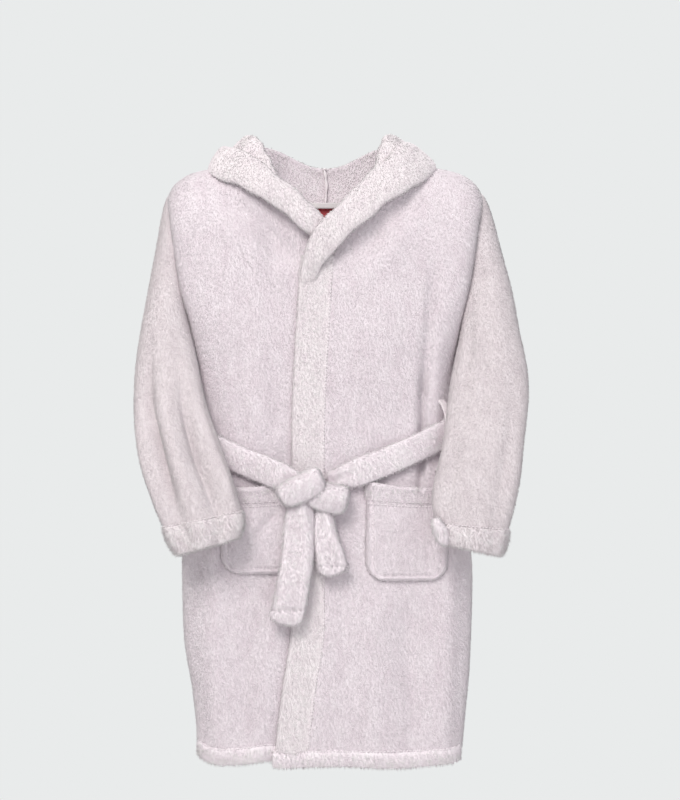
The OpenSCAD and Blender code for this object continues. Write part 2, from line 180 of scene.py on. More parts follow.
def linear(code: str) -> tuple[float, float, float, float]:
    """Turns an sRGB hex colour to the linear colour a shader takes.

    Args:
        code: The colour as six hex digits after a hash.

    Returns:
        Red, green, blue and an alpha of 1.
    """
    channels = [int(code[i : i + 2], 16) / 255 for i in (1, 3, 5)]
    return tuple(c / 12.92 if c <= 0.04045 else ((c + 0.055) / 1.055) ** 2.4 for c in channels) + (1.0,)


# ---- materials ----


def add_node(
    tree: bpy.types.NodeTree, kind: str, settings: dict | None = None, **links: object
) -> bpy.types.Node:
    """Adds a node with its settings, input values and links.

    Args:
        tree: The node tree it goes in.
        kind: The node's type name.
        settings: Values of the node's own properties.
        links: For each input, by name with _ for a space or in0, in1 by place: a value or a socket to link.

    Returns:
        The new node.
    """
    node = tree.nodes.new(kind)
    for name, value in (settings or {}).items():
        setattr(node, name, value)
    for name, value in links.items():
        by_place = name[:2] == "in" and name[2:].isdigit()
        socket = node.inputs[int(name[2:]) if by_place else name.replace("_", " ")]
        if isinstance(value, bpy.types.NodeSocket):
            tree.links.new(value, socket)
        else:
            socket.default_value = value
    return node


def start_material(name: str) -> tuple[bpy.types.Material, bpy.types.NodeTree, bpy.types.Node]:
    """Starts a material.

    Args:
        name: The material's name.

    Returns:
        The material, its node tree and its shader.
    """
    made = bpy.data.materials.new(name)
    made.use_nodes = True
    return made, made.node_tree, made.node_tree.nodes["Principled BSDF"]


@dataclass(frozen=True)
class Fleece:
    """Coral fleece: polyester microfibre knitted, brushed and sheared to a soft deep pile.

    The pile scatters light with a pale bloom towards edges and shows lighter and darker patches where the nap
    lies one way or the other, with faint streaks down the cloth.
    """

    name: str
    light: str
    base: str
    shade: str
    patch_mm: float = 15.0
    tuft_mm: float = 2.6
    depth_mm: float = 1.1

    def material(self) -> bpy.types.Material:
        """Builds the cloth's material, or returns it if it is there."""
        found = bpy.data.materials.get(self.name)
        if found:
            return found
        made, tree, shader = start_material(self.name)
        place = add_node(tree, "ShaderNodeTexCoord").outputs["Object"]
        streaks = add_node(tree, "ShaderNodeMapping", Vector=place, Scale=(1, 1, 0.42)).outputs[0]
        patches = add_node(
            tree,
            "ShaderNodeTexNoise",
            Vector=streaks,
            Scale=1000 / self.patch_mm,
            Detail=4.0,
            Roughness=0.62,
        )
        tufts = add_node(
            tree, "ShaderNodeTexNoise", Vector=place, Scale=1000 / self.tuft_mm, Detail=2.0, Roughness=0.6
        )
        tone = add_node(
            tree,
            "ShaderNodeMath",
            {"operation": "MULTIPLY_ADD"},
            in0=tufts.outputs[0],
            in1=0.45,
            in2=-0.22,
        )
        both = add_node(
            tree, "ShaderNodeMath", {"operation": "ADD"}, in0=tone.outputs[0], in1=patches.outputs[0]
        )
        ramp = add_node(tree, "ShaderNodeValToRGB", Fac=both.outputs[0])
        stops = ramp.color_ramp.elements
        stops[0].position, stops[0].color = 0.30, linear(self.shade)
        stops[1].position, stops[1].color = 0.72, linear(self.light)
        stops.new(0.5).color = linear(self.base)
        tree.links.new(ramp.outputs[0], shader.inputs["Base Color"])
        high = add_node(
            tree,
            "ShaderNodeMath",
            {"operation": "MULTIPLY_ADD"},
            in0=patches.outputs[0],
            in1=0.6,
            in2=tufts.outputs[0],
        )
        pile = add_node(
            tree, "ShaderNodeBump", Height=high.outputs[0], Strength=0.75, Distance=self.depth_mm * MM
        )
        tree.links.new(pile.outputs[0], shader.inputs["Normal"])
        shader.inputs["Roughness"].default_value = 0.95
        shader.inputs["Specular IOR Level"].default_value = 0.15
        shader.inputs["Sheen Weight"].default_value = 0.35
        shader.inputs["Sheen Roughness"].default_value = 0.55
        shader.inputs["Sheen Tint"].default_value = linear("#fff6f9")
        return made


@dataclass(frozen=True)
class Plain:
    """A finish of one colour for pieces too small to show a pattern, such as pile tips and thread."""

    name: str
    colour: str
    rough: float = 0.9
    sheen: float = 0.3

    def material(self) -> bpy.types.Material:
        """Builds the material, or returns it if it is there."""
        found = bpy.data.materials.get(self.name)
        if found:
            return found
        made, _, shader = start_material(self.name)
        shader.inputs["Base Color"].default_value = linear(self.colour)
        shader.inputs["Roughness"].default_value = self.rough
        shader.inputs["Specular IOR Level"].default_value = 0.15
        shader.inputs["Sheen Weight"].default_value = self.sheen
        shader.inputs["Sheen Roughness"].default_value = 0.6
        return made


@dataclass(frozen=True)
class Woven:
    """A smooth woven ribbon or label: fine polyester threads crossing, with a slight gloss along the ribs."""

    name: str
    colour: str
    # the darker colour: painted shade in the hollows of the weave
    hollow_shade: str
    thread_mm: float = 0.9

    def material(self) -> bpy.types.Material:
        """Builds the material, or returns it if it is there."""
        found = bpy.data.materials.get(self.name)
        if found:
            return found
        made, tree, shader = start_material(self.name)
        place = add_node(tree, "ShaderNodeTexCoord").outputs["Object"]
        # a wave's own period is about 2 pi over 20 of its scale's unit
        # the thread is drawn coarser than it is, so that it shows
        count = 0.314 / (self.thread_mm * MM)
        warp = add_node(
            tree, "ShaderNodeTexWave", {"bands_direction": "X"}, Vector=place, Scale=count, Distortion=0.4
        )
        weft = add_node(
            tree, "ShaderNodeTexWave", {"bands_direction": "Z"}, Vector=place, Scale=count, Distortion=0.4
        )
        both = add_node(
            tree, "ShaderNodeMath", {"operation": "MULTIPLY"}, in0=warp.outputs[1], in1=weft.outputs[1]
        )
        # the darker second colour falls where both waves and the bump are lowest: painted shade in the
        # hollows between threads
        ramp = add_node(tree, "ShaderNodeValToRGB", Fac=both.outputs[0])
        ramp.color_ramp.elements[0].color = linear(self.hollow_shade)
        ramp.color_ramp.elements[1].color = linear(self.colour)
        tree.links.new(ramp.outputs[0], shader.inputs["Base Color"])
        raised = add_node(tree, "ShaderNodeBump", Height=both.outputs[0], Strength=0.4, Distance=0.2 * MM)
        tree.links.new(raised.outputs[0], shader.inputs["Normal"])
        shader.inputs["Roughness"].default_value = 0.5
        return made


# sheared fleece of the panels: a cool pale pink that looks soft and matt
BODY_FLEECE = Fleece("coral fleece body", "#efe6ec", "#e9dee5", "#dfd2da")
# folded edges stand fuller and get a paler copy of the body's fleece: painted light for the brighter light on
# the raised bands, rolls, rims, cuffs and loops; their patches are smaller
EDGE_FLEECE_PAINTED_LIGHT = Fleece("coral fleece edges painted light", "#f5eef1", "#f0e7eb", "#e7dce2", patch_mm=11)
# the belt is a folded strip whose pile stands fullest; it, the hems, knot, tails and cuff corner get the
# palest copy of the fleece: painted light that brightens them where their pile and downturned faces fall into
# shade
BELT_FLEECE_PAINTED_LIGHT = Fleece("coral fleece belt painted light", "#fbf4f8", "#f7edf3", "#ede1e8", patch_mm=11)
# the sleeves get a darker, a little greyer copy of the body's fleece: painted shade for the sleeves turning
# away from the light
SLEEVE_FLEECE_PAINTED_SHADE = Fleece("coral fleece sleeves painted shade", "#e7dee2", "#e0d6da", "#d4c9ce")
# fibre roots, and the paler tips that give the pile its bloom
BODY_PILE = Plain("fleece pile body", "#eae0e6")
BODY_TIPS = Plain("fleece pile tips body", "#efe6eb")
# paler pile colours for the edges: painted light, like the edge fleece
EDGE_PILE_PAINTED_LIGHT = Plain("fleece pile edges painted light", "#f1e8ec")
EDGE_TIPS_PAINTED_LIGHT = Plain("fleece pile tips edges painted light", "#f6f0f2")
# the palest pile colours, for the belt and hems: painted light
BELT_PILE_PAINTED_LIGHT = Plain("fleece pile belt painted light", "#f9eff5")
BELT_TIPS_PAINTED_LIGHT = Plain("fleece pile tips belt painted light", "#fdf7fa")
# darker pile colours for the sleeves, also the cuffs' roots: painted shade
SLEEVE_PILE_PAINTED_SHADE = Plain("fleece pile sleeves painted shade", "#e1d7db")
SLEEVE_TIPS_PAINTED_SHADE = Plain("fleece pile tips sleeves painted shade", "#e7dee1")
# spun thread with a faint shine, and two ribbons whose threads show as fine ribs, with painted shade in the
# hollows between them
THREAD = Plain("polyester sewing thread", "#f3ebef", rough=0.6, sheen=0.1)
TAPE = Woven("twill tape", "#f4f0f0", "#dcd6d8")
LABEL = Woven("woven satin label", "#c8323a", "#98202a")


# ---- meshes ----


def add_mesh(
    name: str, points: np.ndarray, faces: list, material: bpy.types.Material
) -> bpy.types.Object:
    """Makes a smooth-shaded object from points in millimetres.

    Args:
        name: The piece's name.
        points: Its points, in millimetres.
        faces: Its faces, as lists of point numbers.
        material: Its finish.

    Returns:
        The new object, at the origin.
    """
    mesh = bpy.data.meshes.new(name)
    mesh.from_pydata((np.asarray(points) * MM).tolist(), [], faces)
    mesh.materials.append(material)
    mesh.polygons.foreach_set("use_smooth", [True] * len(mesh.polygons))
    mesh.update()
    thing = bpy.data.objects.new(name, mesh)
    bpy.context.scene.collection.objects.link(thing)
    return thing


class Facing(Enum):
    """Which way a cloth's outer face looks."""

    FRONT = (0.0, -1.0, 0.0)
    BACK = (0.0, 1.0, 0.0)
    AROUND = None


@dataclass
class Cloth:
    """A grid of points over a cloth's outer face, and what it takes to make the cloth from them."""

    name: str
    outer: np.ndarray
    thick: float
    finish: Fleece | Plain | Woven
    facing: Facing = Facing.FRONT
    tube: bool = False
    poles: bool = False
    pile: np.ndarray | float = 1.0
    pile_inside: float = 0.0

    def normals(self) -> tuple[np.ndarray, bool]:
        """Returns the outward direction at each point, and whether the grid's faces look inwards."""
        p = self.outer
        if self.tube:
            wide = np.concatenate([p[-1:], p, p[:1]])
            du = (wide[2:] - wide[:-2]) / 2
        else:
            du = np.gradient(p, axis=0)
        n = unit(np.cross(du, np.gradient(p, axis=1)))
        if self.facing is Facing.AROUND:
            out = p - p.mean(axis=0, keepdims=True)
        else:
            out = np.array(self.facing.value)
        inward = float((n * out).sum()) < 0
        return (-n if inward else n), inward

    def loops(self) -> list[np.ndarray]:
        """Returns the grid's open edges as rings of point numbers, walked the way the faces are."""
        nu, nv = self.outer.shape[:2]
        at = np.arange(nu * nv).reshape(nu, nv)
        if self.tube:
            return [at[:, 0], at[::-1, -1]]
        return [np.concatenate([at[:-1, 0], at[-1, :-1], at[:0:-1, -1], at[0, :0:-1]])]

    def build(self) -> bpy.types.Object:
        """Makes the cloth: two faces with rounded rims, or one closed skin with poles."""
        p = self.outer
        nu, nv = p.shape[:2]
        n, inward = self.normals()
        at = np.arange(nu * nv).reshape(nu, nv)
        if self.tube:
            at = np.concatenate([at, at[:1]])
        quads = np.stack([at[:-1, :-1], at[1:, :-1], at[1:, 1:], at[:-1, 1:]], -1).reshape(-1, 4)
        flat = p.reshape(-1, 3)
        pile = np.broadcast_to(self.pile, (nu, nv)).reshape(-1)
        if self.poles:
            points = np.concatenate([flat, p[:, 0].mean(0)[None], p[:, -1].mean(0)[None]])
            low, high = len(flat), len(flat) + 1
            faces = [list(q) for q in quads]
            faces += [[at[i + 1, 0], at[i, 0], low] for i in range(nu)]
            faces += [[at[i, -1], at[i + 1, -1], high] for i in range(nu)]
            weight = np.concatenate([pile, [1.0, 1.0]])
        else:
            points, faces, weight = self.two_faced(flat, n.reshape(-1, 3), quads, pile)
        if inward:
            faces = [f[::-1] for f in faces]
        thing = add_mesh(self.name, points, [[int(k) for k in f] for f in faces], self.finish.material())
        density = thing.data.attributes.new("pile", "FLOAT", "POINT")
        density.data.foreach_set("value", weight.astype(np.float32))
        return thing

    def two_faced(
        self, flat: np.ndarray, n: np.ndarray, quads: np.ndarray, pile: np.ndarray
    ) -> tuple[np.ndarray, list, np.ndarray]:
        """Adds the inner face and the rounded rims.

        Args:
            flat: The outer face's points.
            n: The outward direction at each.
            quads: The outer face's faces.
            pile: How dense the pile is at each point.

        Returns:
            The points, the faces and the pile's density at each point.
        """
        count = len(flat)
        points = [flat, flat - n * self.thick]
        weight = [pile, np.full(count, self.pile_inside)]
        faces = [list(q) for q in quads] + [list(q[::-1] + count) for q in quads]
        total = 2 * count
        nu, nv = self.outer.shape[:2]
        for loop in self.loops():
            i, j = loop // nv, loop % nv
            beyond = np.zeros((len(loop), 3))
            if not self.tube:
                beyond += (i == nu - 1)[:, None] * unit(flat[loop] - flat[np.maximum(i - 1, 0) * nv + j])
                beyond += (i == 0)[:, None] * unit(flat[loop] - flat[np.minimum(i + 1, nu - 1) * nv + j])
            beyond += (j == nv - 1)[:, None] * unit(flat[loop] - flat[i * nv + np.maximum(j - 1, 0)])
            beyond += (j == 0)[:, None] * unit(flat[loop] - flat[i * nv + np.minimum(j + 1, nv - 1)])
            beyond = unit(beyond)
            rings = [loop]
            for k in range(1, RIM_STEPS):
                a = math.pi * k / RIM_STEPS
                ring = (
                    flat[loop]
                    - n[loop] * self.thick / 2 * (1 - math.cos(a))
                    + beyond * self.thick / 2 * math.sin(a)
                )
                points.append(ring)
                share = 0.5 if k == RIM_STEPS - 1 else 1.0
                weight.append(np.full(len(loop), float(np.mean(pile[loop])) * share))
                rings.append(np.arange(total, total + len(loop)))
                total += len(loop)
            rings.append(loop + count)
            for near, far in zip(rings[:-1], rings[1:]):
                after_near, after_far = np.roll(near, -1), np.roll(far, -1)
                faces += [list(f) for f in np.stack([after_near, near, far, after_far], -1)]
        return np.concatenate(points), faces, np.concatenate(weight)


# ---- geometry nodes: pile and stitches ----


def node_group(name: str, inputs: dict[str, tuple[str, object]]) -> bpy.types.NodeTree:
    """Starts a geometry node tree with a Geometry input and output and its own named inputs.

    Args:
        name: The tree's name.
        inputs: For each input its socket type and default value.

    Returns:
        The tree, with its Group Input and Group Output nodes.
    """
    tree = bpy.data.node_groups.new(name, "GeometryNodeTree")
    tree.interface.new_socket("Geometry", in_out="INPUT", socket_type="NodeSocketGeometry")
    for label, (kind, value) in inputs.items():
        socket = tree.interface.new_socket(label, in_out="INPUT", socket_type=kind)
        if value is not None:
            socket.default_value = value
    tree.interface.new_socket("Geometry", in_out="OUTPUT", socket_type="NodeSocketGeometry")
    tree.nodes.new("NodeGroupInput")
    tree.nodes.new("NodeGroupOutput")
    return tree


def pile_tree() -> bpy.types.NodeTree:
    """Returns the tree that grows closed three-sided tufts over a cloth, leaning down with the nap."""
    found = bpy.data.node_groups.get("fleece pile")
    if found:
        return found
    tree = node_group(
        "fleece pile",
        {
            "Density": ("NodeSocketFloat", 100000.0),
            "Length": ("NodeSocketFloat", 0.004),
            "Width": ("NodeSocketFloat", 0.0015),
            "Lean": ("NodeSocketFloat", 1.0),
            "Ruffle": ("NodeSocketFloat", 1.0),
            "Seed": ("NodeSocketInt", 1),
            "Pile": ("NodeSocketMaterial", None),
            "Tips": ("NodeSocketMaterial", None),
        },
    )
    given, result = tree.nodes["Group Input"].outputs, tree.nodes["Group Output"]
    weight = add_node(
        tree, "GeometryNodeInputNamedAttribute", {"data_type": "FLOAT"}, Name="pile"
    ).outputs["Attribute"]
    density = add_node(
        tree, "ShaderNodeMath", {"operation": "MULTIPLY"}, in0=weight, in1=given["Density"]
    )
    roots = add_node(
        tree,
        "GeometryNodeDistributePointsOnFaces",
        Mesh=given["Geometry"],
        Density=density.outputs[0],
        Seed=given["Seed"],
    )
    place = add_node(tree, "GeometryNodeInputPosition").outputs[0]
    swirl = add_node(tree, "ShaderNodeTexNoise", Vector=place, Scale=70.0, Detail=2.0)
    centred = add_node(
        tree,
        "ShaderNodeVectorMath",
        {"operation": "SUBTRACT"},
        in0=swirl.outputs["Color"],
        in1=(0.5, 0.5, 0.5),
    )
    ruffled = add_node(
        tree, "ShaderNodeVectorMath", {"operation": "SCALE"}, in0=centred.outputs[0],
        Scale=given["Ruffle"],
    )
    down = add_node(tree, "ShaderNodeCombineXYZ", Z=-1.0)
    nap = add_node(
        tree, "ShaderNodeVectorMath", {"operation": "SCALE"}, in0=down.outputs[0], Scale=given["Lean"]
    )
    chance = add_node(
        tree,
        "FunctionNodeRandomValue",
        {"data_type": "FLOAT_VECTOR"},
        Min=(-0.3, -0.3, -0.3),
        Max=(0.3, 0.3, 0.3),
    )
    way = add_node(
        tree,
        "ShaderNodeVectorMath",
        {"operation": "ADD"},
        in0=roots.outputs["Normal"],
        in1=nap.outputs[0],
    )
    way = add_node(
        tree, "ShaderNodeVectorMath", {"operation": "ADD"}, in0=way.outputs[0], in1=ruffled.outputs[0]
    )
    way = add_node(
        tree, "ShaderNodeVectorMath", {"operation": "ADD"}, in0=way.outputs[0], in1=chance.outputs[0]
    )
    turn = add_node(tree, "FunctionNodeAlignRotationToVector", {"axis": "Z"}, Vector=way.outputs[0])
    uneven = add_node(tree, "FunctionNodeRandomValue", {"data_type": "FLOAT"}, in2=0.65, in3=1.25)
    length = add_node(
        tree, "ShaderNodeMath", {"operation": "MULTIPLY"}, in0=uneven.outputs[1], in1=given["Length"]
    )
    size = add_node(tree, "ShaderNodeCombineXYZ", X=given["Width"], Y=given["Width"], Z=length.outputs[0])
    # each tuft keeps the cloth's own direction, so that the pile shades as one soft surface
    kept = add_node(
        tree,
        "GeometryNodeStoreNamedAttribute",
        {"data_type": "FLOAT_VECTOR"},
        Geometry=roots.outputs[0],
        Name="lie",
        Value=roots.outputs["Normal"],
    )
    tuft = add_node(
        tree, "GeometryNodeMeshCone", {"fill_type": "NGON"}, Vertices=3, Radius_Top=0.0,
        Radius_Bottom=0.5, Depth=1.0,
    )
    tufts = add_node(
        tree,
        "GeometryNodeInstanceOnPoints",
        Points=kept.outputs[0],
        Instance=tuft.outputs[0],
        Rotation=turn.outputs[0],
        Scale=size.outputs[0],
    )
    real = add_node(tree, "GeometryNodeRealizeInstances", Geometry=tufts.outputs[0])
    soft = add_node(tree, "GeometryNodeSetShadeSmooth", Geometry=real.outputs[0])
    lie = add_node(
        tree, "GeometryNodeInputNamedAttribute", {"data_type": "FLOAT_VECTOR"}, Name="lie"
    ).outputs["Attribute"]
    facing = add_node(tree, "GeometryNodeInputNormal").outputs[0]
    own = add_node(tree, "ShaderNodeVectorMath", {"operation": "SCALE"}, in0=facing, Scale=0.3)
    shade = add_node(tree, "ShaderNodeVectorMath", {"operation": "ADD"}, in0=lie, in1=own.outputs[0])
    soft = add_node(
        tree,
        "GeometryNodeSetMeshNormal",
        {"mode": "FREE", "domain": "POINT"},
        Mesh=soft.outputs[0],
        Custom_Normal=shade.outputs[0],
    )
    base = add_node(tree, "GeometryNodeSetMaterial", Geometry=soft.outputs[0], Material=given["Pile"])
    patch = add_node(tree, "ShaderNodeTexNoise", Vector=place, Scale=110.0, Detail=3.0)
    pale = add_node(
        tree,
        "FunctionNodeCompare",
        {"data_type": "FLOAT", "operation": "GREATER_THAN"},
        in0=patch.outputs[0],
        in1=0.52,
    )
    tips = add_node(
        tree,
        "GeometryNodeSetMaterial",
        Geometry=base.outputs[0],
        Selection=pale.outputs[0],
        Material=given["Tips"],
    )
    tree.links.new(tips.outputs[0], result.inputs[0])
    return tree


def stitch_tree() -> bpy.types.NodeTree:
    """Returns the tree that sets small closed stitches along a line of edges."""
    found = bpy.data.node_groups.get("stitch row")
    if found:
        return found
    tree = node_group(
        "stitch row",
        {
            "Pitch": ("NodeSocketFloat", 0.004),
            "Length": ("NodeSocketFloat", 0.003),
            "Width": ("NodeSocketFloat", 0.0009),
            "Thread": ("NodeSocketMaterial", None),
        },
    )
    given, result = tree.nodes["Group Input"].outputs, tree.nodes["Group Output"]
    line = add_node(tree, "GeometryNodeMeshToCurve", Mesh=given["Geometry"])
    spots = add_node(
        tree,
        "GeometryNodeCurveToPoints",
        {"mode": "LENGTH"},
        Curve=line.outputs[0],
        Length=given["Pitch"],
    )
    turn = add_node(
        tree, "FunctionNodeAlignRotationToVector", {"axis": "Z"}, Vector=spots.outputs["Tangent"]
    )
    ball = add_node(tree, "GeometryNodeMeshIcoSphere", Radius=0.5, Subdivisions=1)
    size = add_node(tree, "ShaderNodeCombineXYZ", X=given["Width"], Y=given["Width"], Z=given["Length"])
    row = add_node(
        tree,
        "GeometryNodeInstanceOnPoints",
        Points=spots.outputs[0],
        Instance=ball.outputs[0],
        Rotation=turn.outputs[0],
        Scale=size.outputs[0],
    )
    real = add_node(tree, "GeometryNodeRealizeInstances", Geometry=row.outputs[0])
    soft = add_node(tree, "GeometryNodeSetShadeSmooth", Geometry=real.outputs[0])
    thread = add_node(tree, "GeometryNodeSetMaterial", Geometry=soft.outputs[0], Material=given["Thread"])
    tree.links.new(thread.outputs[0], result.inputs[0])
    return tree


def grown(
    name: str, host: bpy.types.Mesh, tree: bpy.types.NodeTree, values: dict[str, object]
) -> bpy.types.Object:
    """Runs a geometry node tree on a mesh and keeps the result as a plain mesh.

    Args:
        name: The new piece's name.
        host: The mesh the tree works on.
        tree: The geometry node tree.
        values: The tree's inputs by name.

    Returns:
        The new object, with no modifier on it.
    """
    carrier = bpy.data.objects.new(name + "_host", host)
    bpy.context.scene.collection.objects.link(carrier)
    modifier = carrier.modifiers.new("grow", "NODES")
    modifier.node_group = tree
    for item in tree.interface.items_tree:
        if item.item_type == "SOCKET" and item.in_out == "INPUT" and item.name in values:
            modifier[item.identifier] = values[item.name]
    graph = bpy.context.evaluated_depsgraph_get()
    mesh = bpy.data.meshes.new_from_object(carrier.evaluated_get(graph), depsgraph=graph)
    bpy.data.objects.remove(carrier)
    mesh.name = name
    for attribute in [a.name for a in mesh.attributes if a.name in ("pile", "lie")]:
        mesh.attributes.remove(mesh.attributes[attribute])
    thing = bpy.data.objects.new(name, mesh)
    bpy.context.scene.collection.objects.link(thing)
    return thing


@dataclass(frozen=True)
class Pile:
    """How the pile of a cloth stands."""

    per_m2: float = 260000.0
    length: float = 2.8
    width: float = 1.2
    lean: float = 1.3
    ruffle: float = 0.5
    root: Plain = BODY_PILE
    tips: Plain = BODY_TIPS

    def grow(self, cloth: bpy.types.Object, seed: int) -> bpy.types.Object:
        """Grows the pile on a cloth.

        Args:
            cloth: The finished cloth, with its "pile" attribute.
            seed: The fixed seed of where the tufts stand.

        Returns:
            The pile as its own piece.
        """
        return grown(
            cloth.name + "_pile",
            cloth.data,
            pile_tree(),
            {
                "Density": self.per_m2,
                "Length": self.length * MM,
                "Width": self.width * MM,
                "Lean": self.lean,
                "Ruffle": self.ruffle,
                "Seed": seed,
                "Pile": self.root.material(),
                "Tips": self.tips.material(),
            },
        )


BODY_NAP = Pile()
BACK_NAP = Pile(per_m2=125000.0, width=1.7)
# the edge pile takes the belt's palest colours, painted light
EDGE_NAP = Pile(
    per_m2=330000.0, length=3.8, width=1.1, lean=0.5, ruffle=0.9, root=BELT_PILE_PAINTED_LIGHT, tips=BELT_TIPS_PAINTED_LIGHT
)
# the hood pile takes the edges' paler colours, painted light
HOOD_NAP = Pile(
    per_m2=270000.0, length=3.2, width=1.2, lean=0.9, ruffle=0.6, root=EDGE_PILE_PAINTED_LIGHT, tips=EDGE_TIPS_PAINTED_LIGHT
)
# the hem pile takes the belt's and the edges' paler colours, painted light
HEM_NAP = Pile(
    per_m2=330000.0, length=3.6, width=1.2, lean=0.8, ruffle=0.8, root=BELT_PILE_PAINTED_LIGHT, tips=EDGE_TIPS_PAINTED_LIGHT
)
# the cuff pile's roots take the sleeves' darker colour, painted shade, and its tips the edges' paler one,
# painted light
CUFF_NAP = Pile(
    per_m2=330000.0, length=4.0, width=1.1, lean=0.5, ruffle=1.0, root=SLEEVE_TIPS_PAINTED_SHADE, tips=EDGE_TIPS_PAINTED_LIGHT
)
# the sleeve pile takes the sleeves' darker colours, painted shade
SLEEVE_NAP = Pile(root=SLEEVE_PILE_PAINTED_SHADE, tips=SLEEVE_TIPS_PAINTED_SHADE)


def stitches(name: str, lines: list[np.ndarray], pitch: float = 4.4) -> bpy.types.Object:
    """Sews rows of stitches along lines of points.

    Args:
        name: The piece's name.
        lines: Each row's points, in millimetres.
        pitch: The distance from one stitch to the next.

    Returns:
        The stitches as one piece.
    """
    mesh = bpy.data.meshes.new(name + "_lines")
    points, edges = [], []
    for line in lines:
        edges += [(len(points) + k, len(points) + k + 1) for k in range(len(line) - 1)]
        points += (np.asarray(line) * MM).tolist()
    mesh.from_pydata(points, edges, [])
    return grown(
        name,
        mesh,
        stitch_tree(),
        {"Pitch": pitch * MM, "Length": 3.4 * MM, "Width": 1.5 * MM, "Thread": THREAD.material()},
    )


# ---- what a sub-assembly shares ----


@dataclass
class Assembly:
    """A group of pieces that ride on one body, or bend from the robe's body to another."""

    body: str = "robe"
    bend: tuple[str, Vector, Vector] | None = None
    seed: int = 1

    def settle(self, thing: bpy.types.Object, slot: str, *nodes: str) -> bpy.types.Object:
        """Puts a piece on its body, or blends it from the robe's body to another.

        Args:
            thing: The piece.
            slot: A material slot's name; not used.
            nodes: The CAD nodes it stands for.

        Returns:
            The same piece.
        """
        if self.bend:
            other, start, end = self.bend
            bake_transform(thing, "robe", other, start=start, end=end)
        else:
            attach(thing, self.body)
        if nodes:
            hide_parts(*nodes)
        LOG.info("%s: %d faces", thing.name, len(thing.data.polygons))
        return thing

    def dress(
        self,
        cloth: Cloth,
        slot: str,
        nodes: tuple[str, ...],
        flat: tuple[float, float],
        share: float = 1.0,
        nap: Pile | None = BODY_NAP,
        rests_on: tuple[str, ...] = ("hanging_loop",),
        held: str = "hung",
    ) -> bpy.types.Object:
        """Args:
            cloth: The cloth's grid and finish.
            slot: A material slot's name, passed on to settle.
            nodes: The CAD nodes it stands for.
            flat: Width and length of the cut, in millimetres; not used.
            share: The share of that rectangle the cut covers; not used.
            nap: The pile, if it has one.
            rests_on: What it hangs from; not used.
            held: How the sheet is held; not used.

        Returns:
            The cloth's object.
        """
        thing = self.settle(cloth.build(), slot, *nodes)
        if nap:
            self.seed += 1
            self.settle(nap.grow(thing, self.seed), slot)
        return thing


# ---- body ----


@dataclass(frozen=True)
class Fold:
    """A soft ridge, or a valley when its height is negative, between two points of the front plane."""

    x0: float
    z0: float
    x1: float
    z1: float
    width: float
    height: float

    def lift(self, x: np.ndarray, z: np.ndarray) -> np.ndarray:
        """Works out how far the fold lifts the cloth.

        Args:
            x: Across.
            z: Up.

        Returns:
            The lift at each point, in millimetres.
        """
        along = np.array([self.x1 - self.x0, self.z1 - self.z0])
        length = float(np.hypot(*along))
        along = along / length
        t = ((x - self.x0) * along[0] + (z - self.z0) * along[1]) / length
        across = (x - self.x0) * along[1] - (z - self.z0) * along[0]
        return (
            self.height
            * np.exp(-((across / self.width) ** 2))
            * ease((t + 0.12) / 0.3)
            * ease((1.12 - t) / 0.3)
        )


